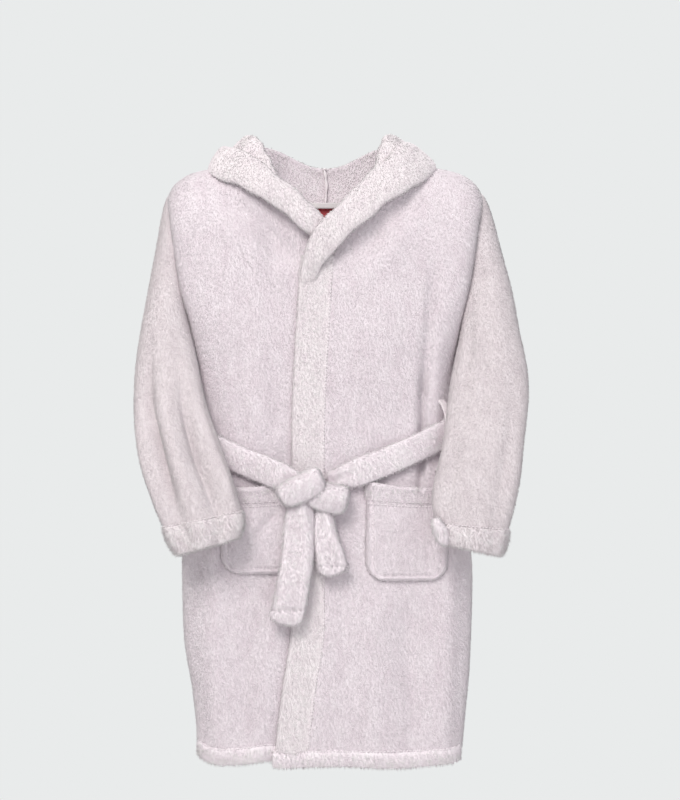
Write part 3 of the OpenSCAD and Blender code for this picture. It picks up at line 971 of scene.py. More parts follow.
@dataclass
class Torso(Assembly):
    """Back, fronts, bands and hems: the body of the robe."""

    length: float = 738.0
    cloth: float = 5.0
    band_w: float = 40.0
    under_reach: float = 34.0
    hem_h: float = 20.0
    neck_side: tuple[float, float] = (95.0, 54.0)
    crossing_z: float = -80.0
    # the shoulder tip's distance from the middle, the step under the upper front and the bow of the neck edge
    tip_x: float = 207.0
    under_step: float = 7.5
    neck_bow: float = 22.0
    # the height over which the fronts and the back close to the shoulder line
    slope_h: float = 62.0
    # the share of a front's height below the crossing, and of the back's below the armholes
    front_split: float = 0.84
    back_split: float = 0.78
    armhole_z: float = -140.0
    # half width of the body on each side, up to the armhole and on to the shoulder tip
    side_left: Curve = field(
        default_factory=lambda: Curve(
            (-738, 178), (-680, 183), (-600, 190), (-493, 193), (-400, 183), (-310, 167),
            (-240, 168), (-169, 177), (-116, 189), (-60, 198), (-30, 202), (-5, 207),
        )
    )
    side_right: Curve = field(
        default_factory=lambda: Curve(
            (-738, 168), (-700, 168.5), (-650, 173), (-560, 186), (-459, 188), (-400, 181), (-310, 166),
            (-240, 168), (-169, 176), (-116, 190), (-60, 199), (-30, 203), (-5, 207),
        )
    )
    half_d: Curve = field(
        default_factory=lambda: Curve((-738, 44), (-480, 46), (-310, 40), (-165, 46), (-60, 46), (60, 36))
    )
    square: Curve = field(default_factory=lambda: Curve((-738, 2.7), (-220, 2.7), (-120, 5.2), (60, 6.0)))
    shoulder: Curve = field(
        default_factory=lambda: Curve(
            (0, 60), (95, 56), (150, 45), (165, 42), (178, 38), (192, 30), (202, 19), (207, 6), (210, -8)
        )
    )
    upper_edge: Curve = field(
        default_factory=lambda: Curve(
            (-738, -64), (-640, -52), (-546, -40), (-312, -40), (-130, -32), (-80, -29)
        )
    )
    folds: tuple[Fold, ...] = (
        Fold(142, -90, 128, -260, 8, -6),
        Fold(128, -225, 125, -375, 5, -10),
        Fold(150, -180, 146, -330, 12, 3),
        Fold(-134, 10, -34, -78, 14, -8),
        Fold(-130, -28, -48, -112, 17, 4),
        Fold(44, -70, 124, 14, 14, -7),
        Fold(34, -120, 110, -30, 18, 3),
        Fold(-118, -60, -128, -300, 20, 2.5),
        Fold(90, -40, 70, -260, 26, 2.5),
        Fold(-70, -110, -80, -330, 18, 2),
        Fold(-150, -420, -140, -725, 17, 6),
        Fold(-96, -500, -104, -725, 14, -3.5),
        Fold(-60, -420, -74, -700, 17, 4.5),
        Fold(60, -520, 74, -725, 22, 6),
        Fold(108, -525, 116, -725, 14, -5),
        Fold(158, -430, 160, -725, 18, 6),
        Fold(10, -430, -10, -700, 16, 2.5),
        Fold(-120, -355, -150, -470, 9, 3),
        Fold(-60, -300, -70, -350, 8, 2.5),
        Fold(60, -290, 52, -345, 8, 2.5),
        Fold(95, -270, 92, -330, 7, -2),
        Fold(-110, -250, -106, -320, 7, -2),
    )

    def half_w(self, x: np.ndarray, z: np.ndarray) -> np.ndarray:
        """Returns the body's half width on the side that x is on."""
        return np.where(x >= 0, self.side_left(z), self.side_right(z))

    def depth(self, x: np.ndarray, z: np.ndarray) -> np.ndarray:
        """Works out how far the body's outer face stands from its middle plane.

        Args:
            x: Across.
            z: Up.

        Returns:
            The distance from the middle plane, which closes to nothing at the side seams and shoulders.
        """
        share = np.minimum(1, np.abs(x) / self.half_w(x, z))
        power = self.square(z)
        rise = np.clip((z - self.shoulder(np.abs(x)) + self.slope_h) / self.slope_h, 0, 1)
        return self.half_d(z) * np.maximum(0, 1 - share**power) ** (1 / power) * np.sqrt(1 - rise**2)

    def drape(self, x: np.ndarray, z: np.ndarray, face: int) -> np.ndarray:
        """Works out the lift of folds and of the cloth's own slow unevenness.

        Args:
            x: Across.
            z: Up.
            face: 1 in front, -1 behind.

        Returns:
            The lift at each point, calm near the side seams and the shoulders.
        """
        share = np.clip(np.abs(x) / self.half_w(x, z), 0, 1)
        calm = (1 - ease((share - 0.86) / 0.14)) * ease((self.shoulder(np.abs(x)) - z) / 50)
        wave = (
            1.1 * np.sin(x / 31 + z / 97 + face)
            + 0.9 * np.sin(x / 17 - z / 61 + 2)
            + 0.8 * np.sin(z / 43 + x / 71 + 4)
        )
        if face > 0:
            lift = sum(f.lift(x, z) for f in self.folds)
        else:
            skirt = ease((-330 - z) / 160)
            lift = (
                skirt * (5 * np.sin(x / 21 + 0.6) + 2 * np.sin(x / 11 + z / 120))
                + 2.5 * bump(z, -230, 90) * np.sin(x / 24)
            )
        return (lift + wave) * calm

    def tuck(self, x: np.ndarray) -> np.ndarray:
        """Returns how far the lower front steps in under the upper one."""
        return -self.under_step * ease((x + 95) / 32)

    def on_body(
        self,
        x: np.ndarray,
        z: np.ndarray,
        off: np.ndarray | float = 0.0,
        face: int = 1,
        lower: bool = False,
    ) -> np.ndarray:
        """Returns points off the body's face.

        Args:
            x: Across.
            z: Up.
            off: How far out from the face.
            face: 1 in front, -1 behind.
            lower: Whether it is on the front that passes under the other.

        Returns:
            The points.
        """
        x, z = np.broadcast_arrays(np.asarray(x, float), np.asarray(z, float))
        out = self.depth(x, z) + self.drape(x, z, face) + off
        if lower:
            out = out + self.tuck(x)
        return np.stack([x, -face * out, z], -1)

    def front_outline(self, edge: Curve, side: int, nu: int, nv: int) -> tuple[np.ndarray, np.ndarray]:
        """Lays a grid over one front.

        Args:
            edge: Where the front's edge is at each height.
            side: 1 for the wearer's left, -1 for the right.
            nu: Points across.
            nv: Points up.

        Returns:
            x and z over the front, from its edge to the side seam and from the hem to the shoulder.
        """
        u, v = grid_of(nu, nv)
        reach = np.sin(u * math.pi / 2)
        split = self.front_split
        low_z = self.crossing_z - 15
        z = mix(-self.length + self.hem_h - 1, low_z, np.minimum(1, v / split))
        side_x = side * np.where(side > 0, self.side_left(z), self.side_right(z))
        x = mix(edge(z), side_x, reach)
        k = np.clip((v - split) / (1 - split), 0, 1)
        neck_x, neck_z = side * self.neck_side[0], self.neck_side[1]
        along = np.clip(u * 2 - 1, 0, 1)
        far = np.abs(mix(neck_x, side * self.tip_x, np.sin(along * math.pi / 2)))
        top_x = np.where(u < 0.5, mix(float(edge(self.crossing_z)), neck_x, u * 2), side * far)
        bow = self.neck_bow * np.sin(np.clip(u * 2, 0, 1) * math.pi)
        top_z = np.where(u < 0.5, mix(self.crossing_z, neck_z, u * 2) + bow, self.shoulder(far))
        return mix(x, top_x, k), mix(z, top_z, k)

    def build(self) -> None:
        """Makes the back, the fronts, the bands, the hems and their seams."""
        cloth = self.cloth
        # back, cut in one piece, from the hem up to the neck and shoulders
        u, v = grid_of(104, 190)
        g = np.sin((u * 2 - 1) * math.pi / 2)
        split = self.back_split
        k = np.clip((v - split) / 0.22, 0, 1)
        low = mix(-self.length + self.hem_h - 1, self.armhole_z, np.minimum(1, v / split))
        x = g * self.half_w(g, low)
        far = g * self.tip_x
        neck = -6 + 60 * np.minimum(1, np.abs(far) / self.neck_side[0]) ** 2
        top = np.minimum(neck, self.shoulder(np.abs(far)))
        x, z = mix(x, far, k), mix(low, top, k)
        back = Cloth("back", self.on_body(x, z, 0, -1), cloth, BODY_FLEECE, Facing.BACK)
        self.dress(back, "fleece", ("back_panel",), (480, 800), 0.92, BACK_NAP)
        # upper and lower front
        edge = Curve(
            *[(z0, self.upper_edge(z0) + self.band_w - 2) for z0 in (-738, -640, -546, -312, -130, -80)]
        )
        x, z = self.front_outline(edge, 1, 62, 190)
        bare = ease((z + self.length - self.hem_h - 1) / 5) * ease((x - edge(z) - 1) / 3)
        upper = Cloth("front_left", self.on_body(x, z, 0.5), cloth, BODY_FLEECE, pile=bare)
        self.dress(upper, "fleece", ("front_panel_left",), (215, 790), 0.85)
        inner = Curve((-738, -4.0), (-80, -4.0))
        x, z = self.front_outline(inner, -1, 62, 190)
        bare = ease((z + self.length - self.hem_h - self.rise(x) - 1) / 5)
        under = Cloth("front_right", self.on_body(x, z, 0, 1, True), cloth, BODY_FLEECE, pile=bare)
        self.dress(under, "fleece", ("front_panel_right",), (225, 790), 0.85)
        self.bands()
        self.hems()

    def bands(self) -> None:
        """Makes the folded band down each front edge, with its row of stitches."""
        u, v = grid_of(12, 180)
        z = mix(-self.length + self.hem_h, self.crossing_z + 6, v)
        x = self.upper_edge(z) + self.band_w * u
        puff = 1.8 + 1.6 * np.sin(np.clip(u * 1.25, 0, 1) * math.pi) - 1.2 * ease((u - 0.85) / 0.15)
        groove = 1 - bump(u, 0.955, 0.06)
        band = Cloth("band_left", self.on_body(x, z, puff), 8.0, EDGE_FLEECE_PAINTED_LIGHT, pile=groove)
        self.dress(band, "fleece", ("front_band_left",), (42, 690), 1.0, HOOD_NAP)
        x = self.under_reach - self.band_w * u
        z = mix(-self.length + self.hem_h, self.crossing_z - 6, v)
        band = Cloth("band_right", self.on_body(x, z, 0.5, 1, True), 6.0, BODY_FLEECE)
        self.dress(band, "fleece", ("front_band_right",), (42, 690), 1.0, None)
        z = np.linspace(-self.length + 4, self.crossing_z, 160)
        row = self.on_body(self.upper_edge(z) + self.band_w - 1.5, z, 3.0)
        self.settle(stitches("band_stitches", [row]), "fleece")

    def corner(self, x: np.ndarray) -> np.ndarray:
        """Returns how far the bottom edge lifts at its round left corner."""
        return 5 * np.clip((x - 158) / 20, 0, 1) ** 2

    def rise(self, x: np.ndarray) -> np.ndarray:
        """Returns how far the bottom edge lifts under the crossing and at both corners."""
        return 8 * bump(x, -72, 34) + 13 * np.clip((-x - 138) / 32, 0, 1) ** 2 + self.corner(x)

    def hems(self) -> None:
        """Makes the bottom hems, puffed by their fold, with a row of stitches along the top."""
        rows = []
        for name, x0, x1, face, lower, node in (
            ("hem_cloth_back", -168.0, 178.0, -1, False, "hem_back"),
            ("hem_cloth_left", float(self.upper_edge(-738)) - 1, 178.0, 1, False, "hem_left"),
            ("hem_cloth_right", -168.0, self.under_reach, 1, True, "hem_right"),
        ):
            u, v = grid_of(96 if face < 0 else 70, 10)
            # points crowd together where the cloth turns the side seam
            if face < 0:
                spread = (1 - np.cos(u * math.pi)) / 2
            elif lower:
                spread = 1 - np.sin((1 - u) * math.pi / 2)
            else:
                spread = np.sin(u * math.pi / 2)
            flat_x = mix(x0, x1, spread)
            z = mix(-self.length + 2, -self.length + self.hem_h, v)
            half = self.half_w(flat_x, z)
            x = np.clip(flat_x, -half, half)
            puff = 1.4 + 1.8 * np.sin(v * math.pi) + 0.3 * np.sin(flat_x / 5.1)
            lift = self.rise if face < 0 or lower else self.corner
            z = z + 1.5 * np.sin(flat_x / 23 + face) + lift(flat_x)
            crest = 1 - bump(v, 1, 0.14)
            facing = Facing.FRONT if face > 0 else Facing.BACK
            hem = Cloth(name, self.on_body(x, z, puff, face, lower), 8.0, BELT_FLEECE_PAINTED_LIGHT, facing, pile=crest)
            self.dress(hem, "hem_fleece", (node,), (x1 - x0 + 30, 26), 1.0, HEM_NAP)
            line = np.linspace(x0 + 2, x1 - 2, 120)
            rows.append(
                self.on_body(line, -self.length + self.hem_h + 1.5 + lift(line), 2.6, face, lower)
            )
        self.settle(stitches("hem_stitches", rows), "hem_fleece")


# ---- sleeves ----

Crease = tuple[float, float, float, float, float]


@dataclass
class Sleeve(Assembly):
    """A hanging sleeve with its cuff; its top runs in under the shoulder."""

    side: int = 1
    name: str = "left"
    outer_x: Curve = field(
        default_factory=lambda: Curve(
            (0, 227), (0.13, 243), (0.3, 256), (0.45, 264), (0.65, 252), (0.83, 231), (0.94, 211),
            (1, 190),
        )
    )
    outer_z: Curve = field(
        default_factory=lambda: Curve(
            (0, -459), (0.13, -395), (0.3, -325), (0.45, -247), (0.65, -150), (0.83, -60), (0.94, 6),
            (1, 28),
        )
    )
    inner_x: Curve = field(
        default_factory=lambda: Curve(
            (0, 147), (0.13, 139), (0.3, 151), (0.45, 163), (0.65, 178), (0.83, 184), (0.94, 176),
            (1, 166),
        )
    )
    inner_z: Curve = field(
        default_factory=lambda: Curve(
            (0, -443), (0.13, -392), (0.3, -322), (0.45, -250), (0.65, -160), (0.83, -85), (0.94, -40),
            (1, -8),
        )
    )
    mid_y: Curve = field(
        default_factory=lambda: Curve(
            (0, -89), (0.13, -84), (0.3, -67), (0.45, -38), (0.65, -13), (0.83, 1), (1, 3)
        )
    )
    half_d: Curve = field(
        default_factory=lambda: Curve(
            (0, 19), (0.13, 21), (0.3, 23), (0.45, 26), (0.65, 28), (0.83, 24), (0.94, 19), (1, 12)
        )
    )
    # folds down the sleeve: degrees round it, where along it and how far, degrees wide and how high
    creases: tuple[Crease, ...] = (
        (35, 0.25, 0.16, 14, -4), (322, 0.2, 0.14, 14, -4), (5, 0.55, 0.2, 20, 2),
        (322, 0.56, 0.15, 12, -3.5),
    )
    cuff_share: float = 0.062
    ribs: int = 72
    cuff_nodes: tuple[str, ...] = ()
    shell_nodes: tuple[str, ...] = ()

    def ring(self, s: np.ndarray, a: np.ndarray, off: np.ndarray | float = 0.0) -> np.ndarray:
        """Returns points of the sleeve.

        Args:
            s: How far up the sleeve, 0 at the cuff's edge and 1 inside the shoulder.
            a: Degrees round it, 0 in front and 90 on the outer side.
            off: How far out from the skin.

        Returns:
            The points.
        """
        turn = np.radians(a)
        ox, oz = self.outer_x(s), self.outer_z(s)
        ix, iz = self.inner_x(s), self.inner_z(s)
        hx, hz = (ox - ix) / 2, (oz - iz) / 2
        half = np.hypot(hx, hz)
        ripple = sum(
            height * bump(a, angle, width) * bump(s, where, reach)
            for angle, where, reach, width, height in self.creases
        )
        ripple = ripple + 0.9 * np.sin(s * 21 + turn * 2 + self.side) * ease((0.85 - s) / 0.2)
        grow = 1 + (off + ripple) / half
        deep = self.half_d(s) + off + ripple
        sway = np.sign(np.sin(turn)) * np.abs(np.sin(turn)) ** 0.9
        x = (ox + ix) / 2 + hx * grow * sway
        z = (oz + iz) / 2 + hz * grow * sway
        return np.stack([self.side * x, self.mid_y(s) - deep * np.cos(turn), z], -1)

    def build(self) -> None:
        """Makes the sleeve's tube and its turned cuff."""
        u, v = grid_of(self.ribs, 120)
        a = round_ring(u, self.ribs, 360)
        s = mix(self.cuff_share - 0.004, 1.0, v)
        bare = (1 - ease((s - 0.93) / 0.03)) * ease((s - self.cuff_share - 0.006) / 0.01)
        tube = Cloth(
            f"sleeve_cloth_{self.name}",
            self.ring(s, a),
            5.0,
            SLEEVE_FLEECE_PAINTED_SHADE,
            Facing.AROUND,
            True,
            pile=bare,
        )
        self.dress(tube, "fleece", self.shell_nodes, (330, 480), 0.55, SLEEVE_NAP, ("back",))
        u, v = grid_of(self.ribs, 12)
        a = round_ring(u, self.ribs, 360)
        s = mix(0.004, self.cuff_share, v)
        puff = 1.4 + 2.2 * np.sin(v * math.pi) ** 0.7 + 0.7 * np.sin(np.radians(a) * 9)
        cuff = Cloth(
            f"cuff_cloth_{self.name}",
            self.ring(s, a, puff),
            8.0,
            EDGE_FLEECE_PAINTED_LIGHT,
            Facing.AROUND,
            True,
            pile_inside=0.6,
        )
        self.dress(
            cuff, "hem_fleece", self.cuff_nodes, (230, 34), 1.0, CUFF_NAP, (f"sleeve_cloth_{self.name}",)
        )
        angles = np.linspace(0, 360, 90)
        line = self.ring(np.full(len(angles), self.cuff_share + 0.005), angles, 1.8)
        self.settle(stitches(f"cuff_stitches_{self.name}", [line]), "hem_fleece")


@dataclass
class CuffTurn(Assembly):
    """The inner corner of a cuff where it has turned over on itself."""

    mid: tuple[float, float, float] = (148.0, -103.0, -428.0)
    half: tuple[float, float, float] = (9.0, 8.0, 19.0)
    turn: float = 24.0

    def build(self) -> None:
        """Makes the turned corner as a small stuffed fold."""
        u, v = grid_of(28, 26)
        a = round_ring(u, 28)
        b = mix(-1, 1, v)
        close = np.sqrt(np.clip(1 - b**2, 0.001, 1)) * (1 + 0.1 * np.sin(2 * a + b * 3))
        x, y, z = self.half[0] * close * np.sin(a), -self.half[1] * close * np.cos(a), self.half[2] * b
        grid = turned(self.mid, x, y, z, self.turn)
        thing = self.settle(
            Cloth("cuff_turn", grid, 0.0, BELT_FLEECE_PAINTED_LIGHT, Facing.AROUND, True, True).build(), "hem_fleece"
        )
        self.settle(EDGE_NAP.grow(thing, self.seed), "hem_fleece")


@dataclass
class Gusset(Assembly):
    """The cloth of the underarm, folded away while the sleeve hangs and fanned out as it lifts."""

    side: int = 1
    name: str = "left"
    top: tuple[float, float] = (202.0, -30.0)
    low: tuple[float, float] = (176.5, -169.0)
    width: float = 10.0

    def build(self) -> None:
        """Makes the underarm as a narrow strip that bends from the robe to the sleeve."""
        u, v = grid_of(26, 44)
        top, low = np.array(self.top), np.array(self.low)
        along = low - top
        out = np.array([-along[1], along[0]]) / np.hypot(*along)
        out = out if out[0] > 0 else -out
        reach = 1 - 0.34 * np.sin(u * math.pi)
        q = 1 - np.abs(v * 2 - 1)
        q = reach * np.sin(q * math.pi / 2)
        flat = top + along * q[..., None] + out * self.width * u[..., None]
        y = 15 * np.sign(v - 0.5) * np.sqrt(np.maximum(0, 1 - (q / reach) ** 4))
        grid = np.stack([self.side * flat[..., 0], y, flat[..., 1]], -1)
        start = Vector((self.side * top[0] * MM, 0, top[1] * MM))
        step = Vector((self.side * out[0] * self.width * MM, 0, out[1] * self.width * MM))
        self.bend = (f"sleeve_{self.name}", start, start + step)
        thing = Cloth(f"gusset_{self.name}", grid, 1.5, BODY_FLEECE, Facing.FRONT).build()
        self.settle(thing, "fleece")


# ---- hood ----


@dataclass
class HoodRoll(Assembly):
    """The rolled front edge of the hood on one side: two soft folds up from the crossing of the fronts."""

    name: str = "left"
    path_x: Curve = field(
        default_factory=lambda: Curve(
            (0, -25), (0.12, -16), (0.28, 13), (0.52, 58), (0.76, 96), (0.9, 117), (1, 129)
        )
    )
    path_y: Curve = field(
        default_factory=lambda: Curve(
            (0, -44), (0.08, -52), (0.18, -60), (0.28, -65), (0.52, -58), (0.76, -44), (0.9, -26), (1, -2)
        )
    )
    path_z: Curve = field(
        default_factory=lambda: Curve(
            (0, -114), (0.12, -80), (0.28, -39), (0.52, 4), (0.76, 36), (0.9, 52), (1, 63)
        )
    )
    half: Curve = field(
        default_factory=lambda: Curve(
            (0, 8), (0.1, 12), (0.2, 18), (0.35, 19), (0.7, 24), (0.93, 29), (1, 27)
        )
    )
    thick: Curve = field(default_factory=lambda: Curve((0, 2.5), (0.2, 5.5), (0.6, 6.5), (1, 8)))
    nodes: tuple[str, ...] = ()

    def build(self) -> None:
        """Makes the roll as a stuffed fold of cloth."""
        u, v = grid_of(40, 90)
        turn = round_ring(u, 40)
        mid = np.stack([self.path_x(v), self.path_y(v), self.path_z(v)], -1)
        ahead = unit(np.gradient(mid, axis=1))
        face = unit(np.array([0.12 * np.sign(mid[0, -1, 0]), -1.0, 0.22]) + np.zeros_like(mid))
        face = unit(face - ahead * (face * ahead).sum(-1, keepdims=True))
        across = np.cross(ahead, face)
        end = rounded_end(v - 0.96, 0.04) * rounded_end(0.05 - v, 0.05)
        ripple = 1 + 0.05 * np.sin(v * 19 + turn) + 0.04 * np.sin(v * 31 + 2 * turn)
        c, s = np.cos(turn), np.sin(turn)
        grid = mid + across * (self.half(v) * end * ripple * np.sign(c) * np.abs(c) ** 0.7)[..., None]
        grid = grid + face * (self.thick(v) * end * ripple * np.sign(s) * np.abs(s) ** 0.8)[..., None]
        cloth = Cloth(
            f"hood_fold_{self.name}",
            grid,
            0.0,
            EDGE_FLEECE_PAINTED_LIGHT,
            Facing.AROUND,
            True,
            True,
            pile=1 - bump(v, 1, 0.1),
        )
        thing = self.settle(cloth.build(), "hood_fleece", *self.nodes)
        self.seed += 3
        self.settle(HOOD_NAP.grow(thing, self.seed), "hood_fleece")


@dataclass
class HoodHalf(Assembly):
    """Half of the hood: up from the neck seam, over its fold and down behind, with its hemmed rim."""

    side: int = 1
    name: str = "left"
    drop: float = 206.0
    wide: Curve = field(
        default_factory=lambda: Curve(
            (0, 110), (0.3, 128), (0.6, 119), (0.8, 97), (0.92, 62), (0.97, 39), (1, 3)
        )
    )

    def point(self, u: np.ndarray, v: np.ndarray) -> np.ndarray:
        """Returns points of the hood.

        Args:
            u: 0 at the centre seam and 1 at the rim.
            v: 0 at the neck seam, 0.3 at the top fold and 1 at the lowest rim behind.

        Returns:
            The points, on the side that faces back and out.
        """
        # round the neck from the middle of the back to the side, then over the fold and down behind
        a = np.radians(80 * u)
        s, c = np.sin(a), np.cos(a)
        seam = np.stack([98 * s, -16 + 44 * c, -5 + 58 * s**2.4], -1)
        crest = np.stack([99 * s, -16 + 56 * c, 46 + 33 * (1 - np.exp(-((s / 0.52) ** 2.3)))], -1)
        t = np.clip((v - 0.3) / 0.7, 0, 1)
        w = self.wide(t) * u
        back = 57 + 25 * u**2 * (1 - 0.4 * t) + 22 * np.sin(t * math.pi) ** 0.8 * (1 - 0.3 * u**2)
        shell = np.stack([w, back, 44 + 14 * u * u * (1 - t) - self.drop * t * 0.98], -1)
        rise = np.clip(v / 0.22, 0, 1)
        stand = seam + (crest - seam) * np.sin(rise * math.pi / 2)[..., None]
        stand[..., 1] += 5 * np.sin(rise * math.pi)
        over = ease((v - 0.16) / 0.24)[..., None]
        out = stand * (1 - over) + shell * over
        out[..., 2] += 5 * bump(v, 0.27, 0.07) * (1 - 0.5 * u)
        ripple = 3.0 * np.sin(u * 9 + v * 6) * ease((v - 0.35) / 0.2) + 1.3 * np.sin(u * 17 + v * 13)
        out[..., 1] += ripple * (0.3 + 0.7 * u)
        out[..., 0] *= self.side
        return out

    def build(self) -> None:
        """Makes the half hood and its rim."""
        self.bend = ("hood", Vector((0, 0.034, 0.044)), Vector((0, 0.058, 0.044)))
        u, v = grid_of(46, 120)
        nodes = (f"hood_shell_{self.name}",) + (("hood_stand",) if self.side > 0 else ())
        cloth = Cloth(
            f"hood_{self.name}",
            self.point(0.008 + u * 0.972, v * 0.997),
            5.0,
            BODY_FLEECE,
            Facing.BACK,
            pile_inside=0.9,
        )
        self.dress(cloth, "hood_fleece", nodes, (230, 330), 0.62, HOOD_NAP, ("back",))
        u, v = grid_of(9, 110)
        rim = self.point(0.93 + u * 0.13, v)
        rim[..., 1] += 1.5
        edge = Cloth(f"hood_rim_{self.name}", rim, 9.0, EDGE_FLEECE_PAINTED_LIGHT, Facing.BACK, pile_inside=1.0)
        self.dress(
            edge,
            "hood_fleece",
            (f"hood_edge_{self.name}",),
            (20, 330),
            1.0,
            EDGE_NAP,
            (f"hood_{self.name}",),
        )
        if self.side > 0:
            self.seam()

    def seam(self) -> None:
        """Makes the seam that joins the halves, as a narrow ridge with gathers on the inside."""
        u, v = grid_of(10, 70)
        a = round_ring(u, 10)
        mid = self.point(0 * u, 0.01 + v * 0.95)
        mid[..., 0] = 1.4 * np.sin(v * 21)
        mid[..., 1] -= 5.0
        round_it = 1.9 * (1 + 0.35 * np.sin(v * 90)) * np.sqrt(np.clip(1 - (v * 2 - 1) ** 8, 0.03, 1))
        grid = mid + np.stack([round_it * np.sin(a), -round_it * np.cos(a), 0 * a], -1)
        self.settle(
            Cloth("hood_seam", grid, 0.0, EDGE_FLEECE_PAINTED_LIGHT, Facing.AROUND, True, True).build(), "hood_fleece"
        )


# ---- belt ----


@dataclass
class Belt(Assembly):
    """The belt round the waist with its loops."""

    torso: Torso = field(default_factory=Torso)
    width: float = 33.0
    thick: float = 7.0
    left_z: float = -300.0
    right_z: float = -313.0
    # the waist it lies round: half width, half depth and how square the outline is
    waist_w: float = 167.0
    waist_d: float = 40.5
    waist_square: float = 2.7

    def round_waist(self, a: np.ndarray, z: np.ndarray, off: np.ndarray | float) -> np.ndarray:
        """Places points round the waist.

        Args:
            a: Degrees round it, 0 in front and 180 behind.
            z: Up.
            off: How far out from the waist.

        Returns:
            The points.
        """
        s, c = np.sin(np.radians(a)), np.cos(np.radians(a))
        power = 2 / self.waist_square
        x = (self.waist_w + off) * np.sign(s) * np.abs(s) ** power
        y = -(self.waist_d + off) * np.sign(c) * np.abs(c) ** power
        return np.stack([x, y, np.broadcast_to(z, x.shape)], -1)

    def strip(self, name: str, grid: np.ndarray, node: str, length: float, facing: Facing) -> None:
        """Dresses one part of the belt.

        Args:
            name: The piece's name.
            grid: The points of its outer face.
            node: The CAD node it stands for.
            length: Its flat length.
            facing: Which way it looks.
        """
        cloth = Cloth(name, grid, self.thick, BELT_FLEECE_PAINTED_LIGHT, facing)
        flat = (self.width, length)
        self.dress(cloth, "belt_fleece", (node,), flat, 1.0, EDGE_NAP, ("back",), "stretched")

    def build(self) -> None:
        """Makes the part behind, the two runs in front and the loops."""
        u, v = grid_of(110, 12)
        a = mix(86, 274, u)
        # the belt is fuller along its middle, and it rises from the right loop to the left one
        crown = 1.2 * np.sin(v * math.pi) ** 0.6
        t = (self.round_waist(a, 0.0, 0.0)[..., 0] / self.waist_w + 1) / 2
        z = mix(self.right_z, self.left_z, t) + self.width * (v - 0.5)
        self.strip("belt_behind", self.round_waist(a, z, 9.5 + crown), "belt_back", 400, Facing.BACK)
        # each run goes from its side seam to the knot: where it ends, and how far it stands forward there
        for side, name, z_side, x_end, z_end, forward, slack in (
            (1, "left", self.left_z, 6.0, -365.0, 2.0, 5.0),
            (-1, "right", self.right_z, -25.0, -370.0, 10.0, 3.0),
        ):
            a_end = math.degrees(math.asin((abs(x_end) / self.waist_w) ** (self.waist_square / 2)))
            u, v = grid_of(64, 12)
            a = side * mix(88, a_end, u)
            flat = self.round_waist(a, 0.0, 9.0)
            run = np.clip((self.waist_w - np.abs(flat[..., 0])) / (self.waist_w - abs(x_end)), 0, 1)
            # it narrows and gathers where it goes into the knot
            pinch = 1 - 0.28 * ease((run - 0.75) / 0.25)
            sag = -slack * np.sin(run * math.pi)
            z = mix(z_side, z_end, run) + sag + self.width * pinch * (v - 0.5)
            crown = (
                1.6 * np.sin(v * math.pi) ** 0.6 + 1.5 * ease((run - 0.7) / 0.3) * np.sin(v * math.pi * 3)
            )
            grid = self.round_waist(a, z, 9.0 + crown)
            grid[..., 1] -= 3.5 * ease(u * 3) + forward * ease((run - 0.5) / 0.3)
            self.strip(f"belt_front_{name}", grid, f"belt_run_{name}", 190, Facing.FRONT)
        self.loops()

    def loops(self) -> None:
        """Makes the narrow loops at the sides that hold the belt up."""
        for side, name, around, z_mid in (
            (1, "left", 57.0, self.left_z - 6), (-1, "right", 81.0, self.right_z)
        ):
            u, v = grid_of(7, 60)
            a = side * (around + mix(2.6, -2.6, u) + 2.5 * (v - 0.5))
            z = z_mid + 47 * (v * 2 - 1)
            lift = 17.5 - 13 * np.abs(v * 2 - 1) ** 3
            strap = Cloth(f"belt_keeper_{name}", self.round_waist(a, z, lift), 2.6, EDGE_FLEECE_PAINTED_LIGHT, pile=0.5)
            node = (f"belt_loop_{name}",)
            self.dress(strap, "belt_fleece", node, (12, 105), 1.0, HOOD_NAP, ("front_left",))


@dataclass
class Knot(Assembly):
    """The tied knot: one turn of the belt over another."""

    def lobe(
        self,
        name: str,
        node: str,
        mid: tuple[float, float, float],
        half: tuple[float, float, float],
        turn: float,
        dent: float,
    ) -> None:
        """Makes one stuffed turn of the knot.

        Args:
            name: The piece's name.
            node: The CAD node it stands for.
            mid: Its middle.
            half: Half its length, depth and width.
            turn: Degrees it is turned in the front plane.
            dent: How deep the furrows along it are.
        """
        u, v = grid_of(48, 40)
        a = round_ring(u, 48)
        b = mix(-1, 1, v)
        close = np.clip(1 - np.abs(b) ** 2.8, 0.0004, 1) ** 0.5
        furrow = 1 + dent * np.sin(3 * a + b * 1.5) * (1 - b**2)
        x = half[0] * np.sin(b * math.pi / 2 * 0.98) + 0 * a
        y = -half[1] * close * furrow * np.sign(np.cos(a)) * np.abs(np.cos(a)) ** 0.85
        z = half[2] * close * (1 + 0.12 * b) * np.sign(np.sin(a)) * np.abs(np.sin(a)) ** 0.85 + 4 * b**2
        grid = turned(mid, x, y, z, turn)
        thing = self.settle(
            Cloth(name, grid, 0.0, BELT_FLEECE_PAINTED_LIGHT, Facing.AROUND, True, True).build(), "belt_fleece", node
        )
        self.seed += 5
        self.settle(EDGE_NAP.grow(thing, self.seed), "belt_fleece")

    def build(self) -> None:
        """Makes both turns of the knot."""
        self.lobe("knot_under", "belt_knot", (2.0, -65.0, -386.0), (27.0, 13.0, 18.5), -12.0, 0.05)
        self.lobe("knot_over", "belt_knot_wrap", (-30.0, -73.0, -374.0), (30.0, 12.5, 17.5), 26.0, 0.08)


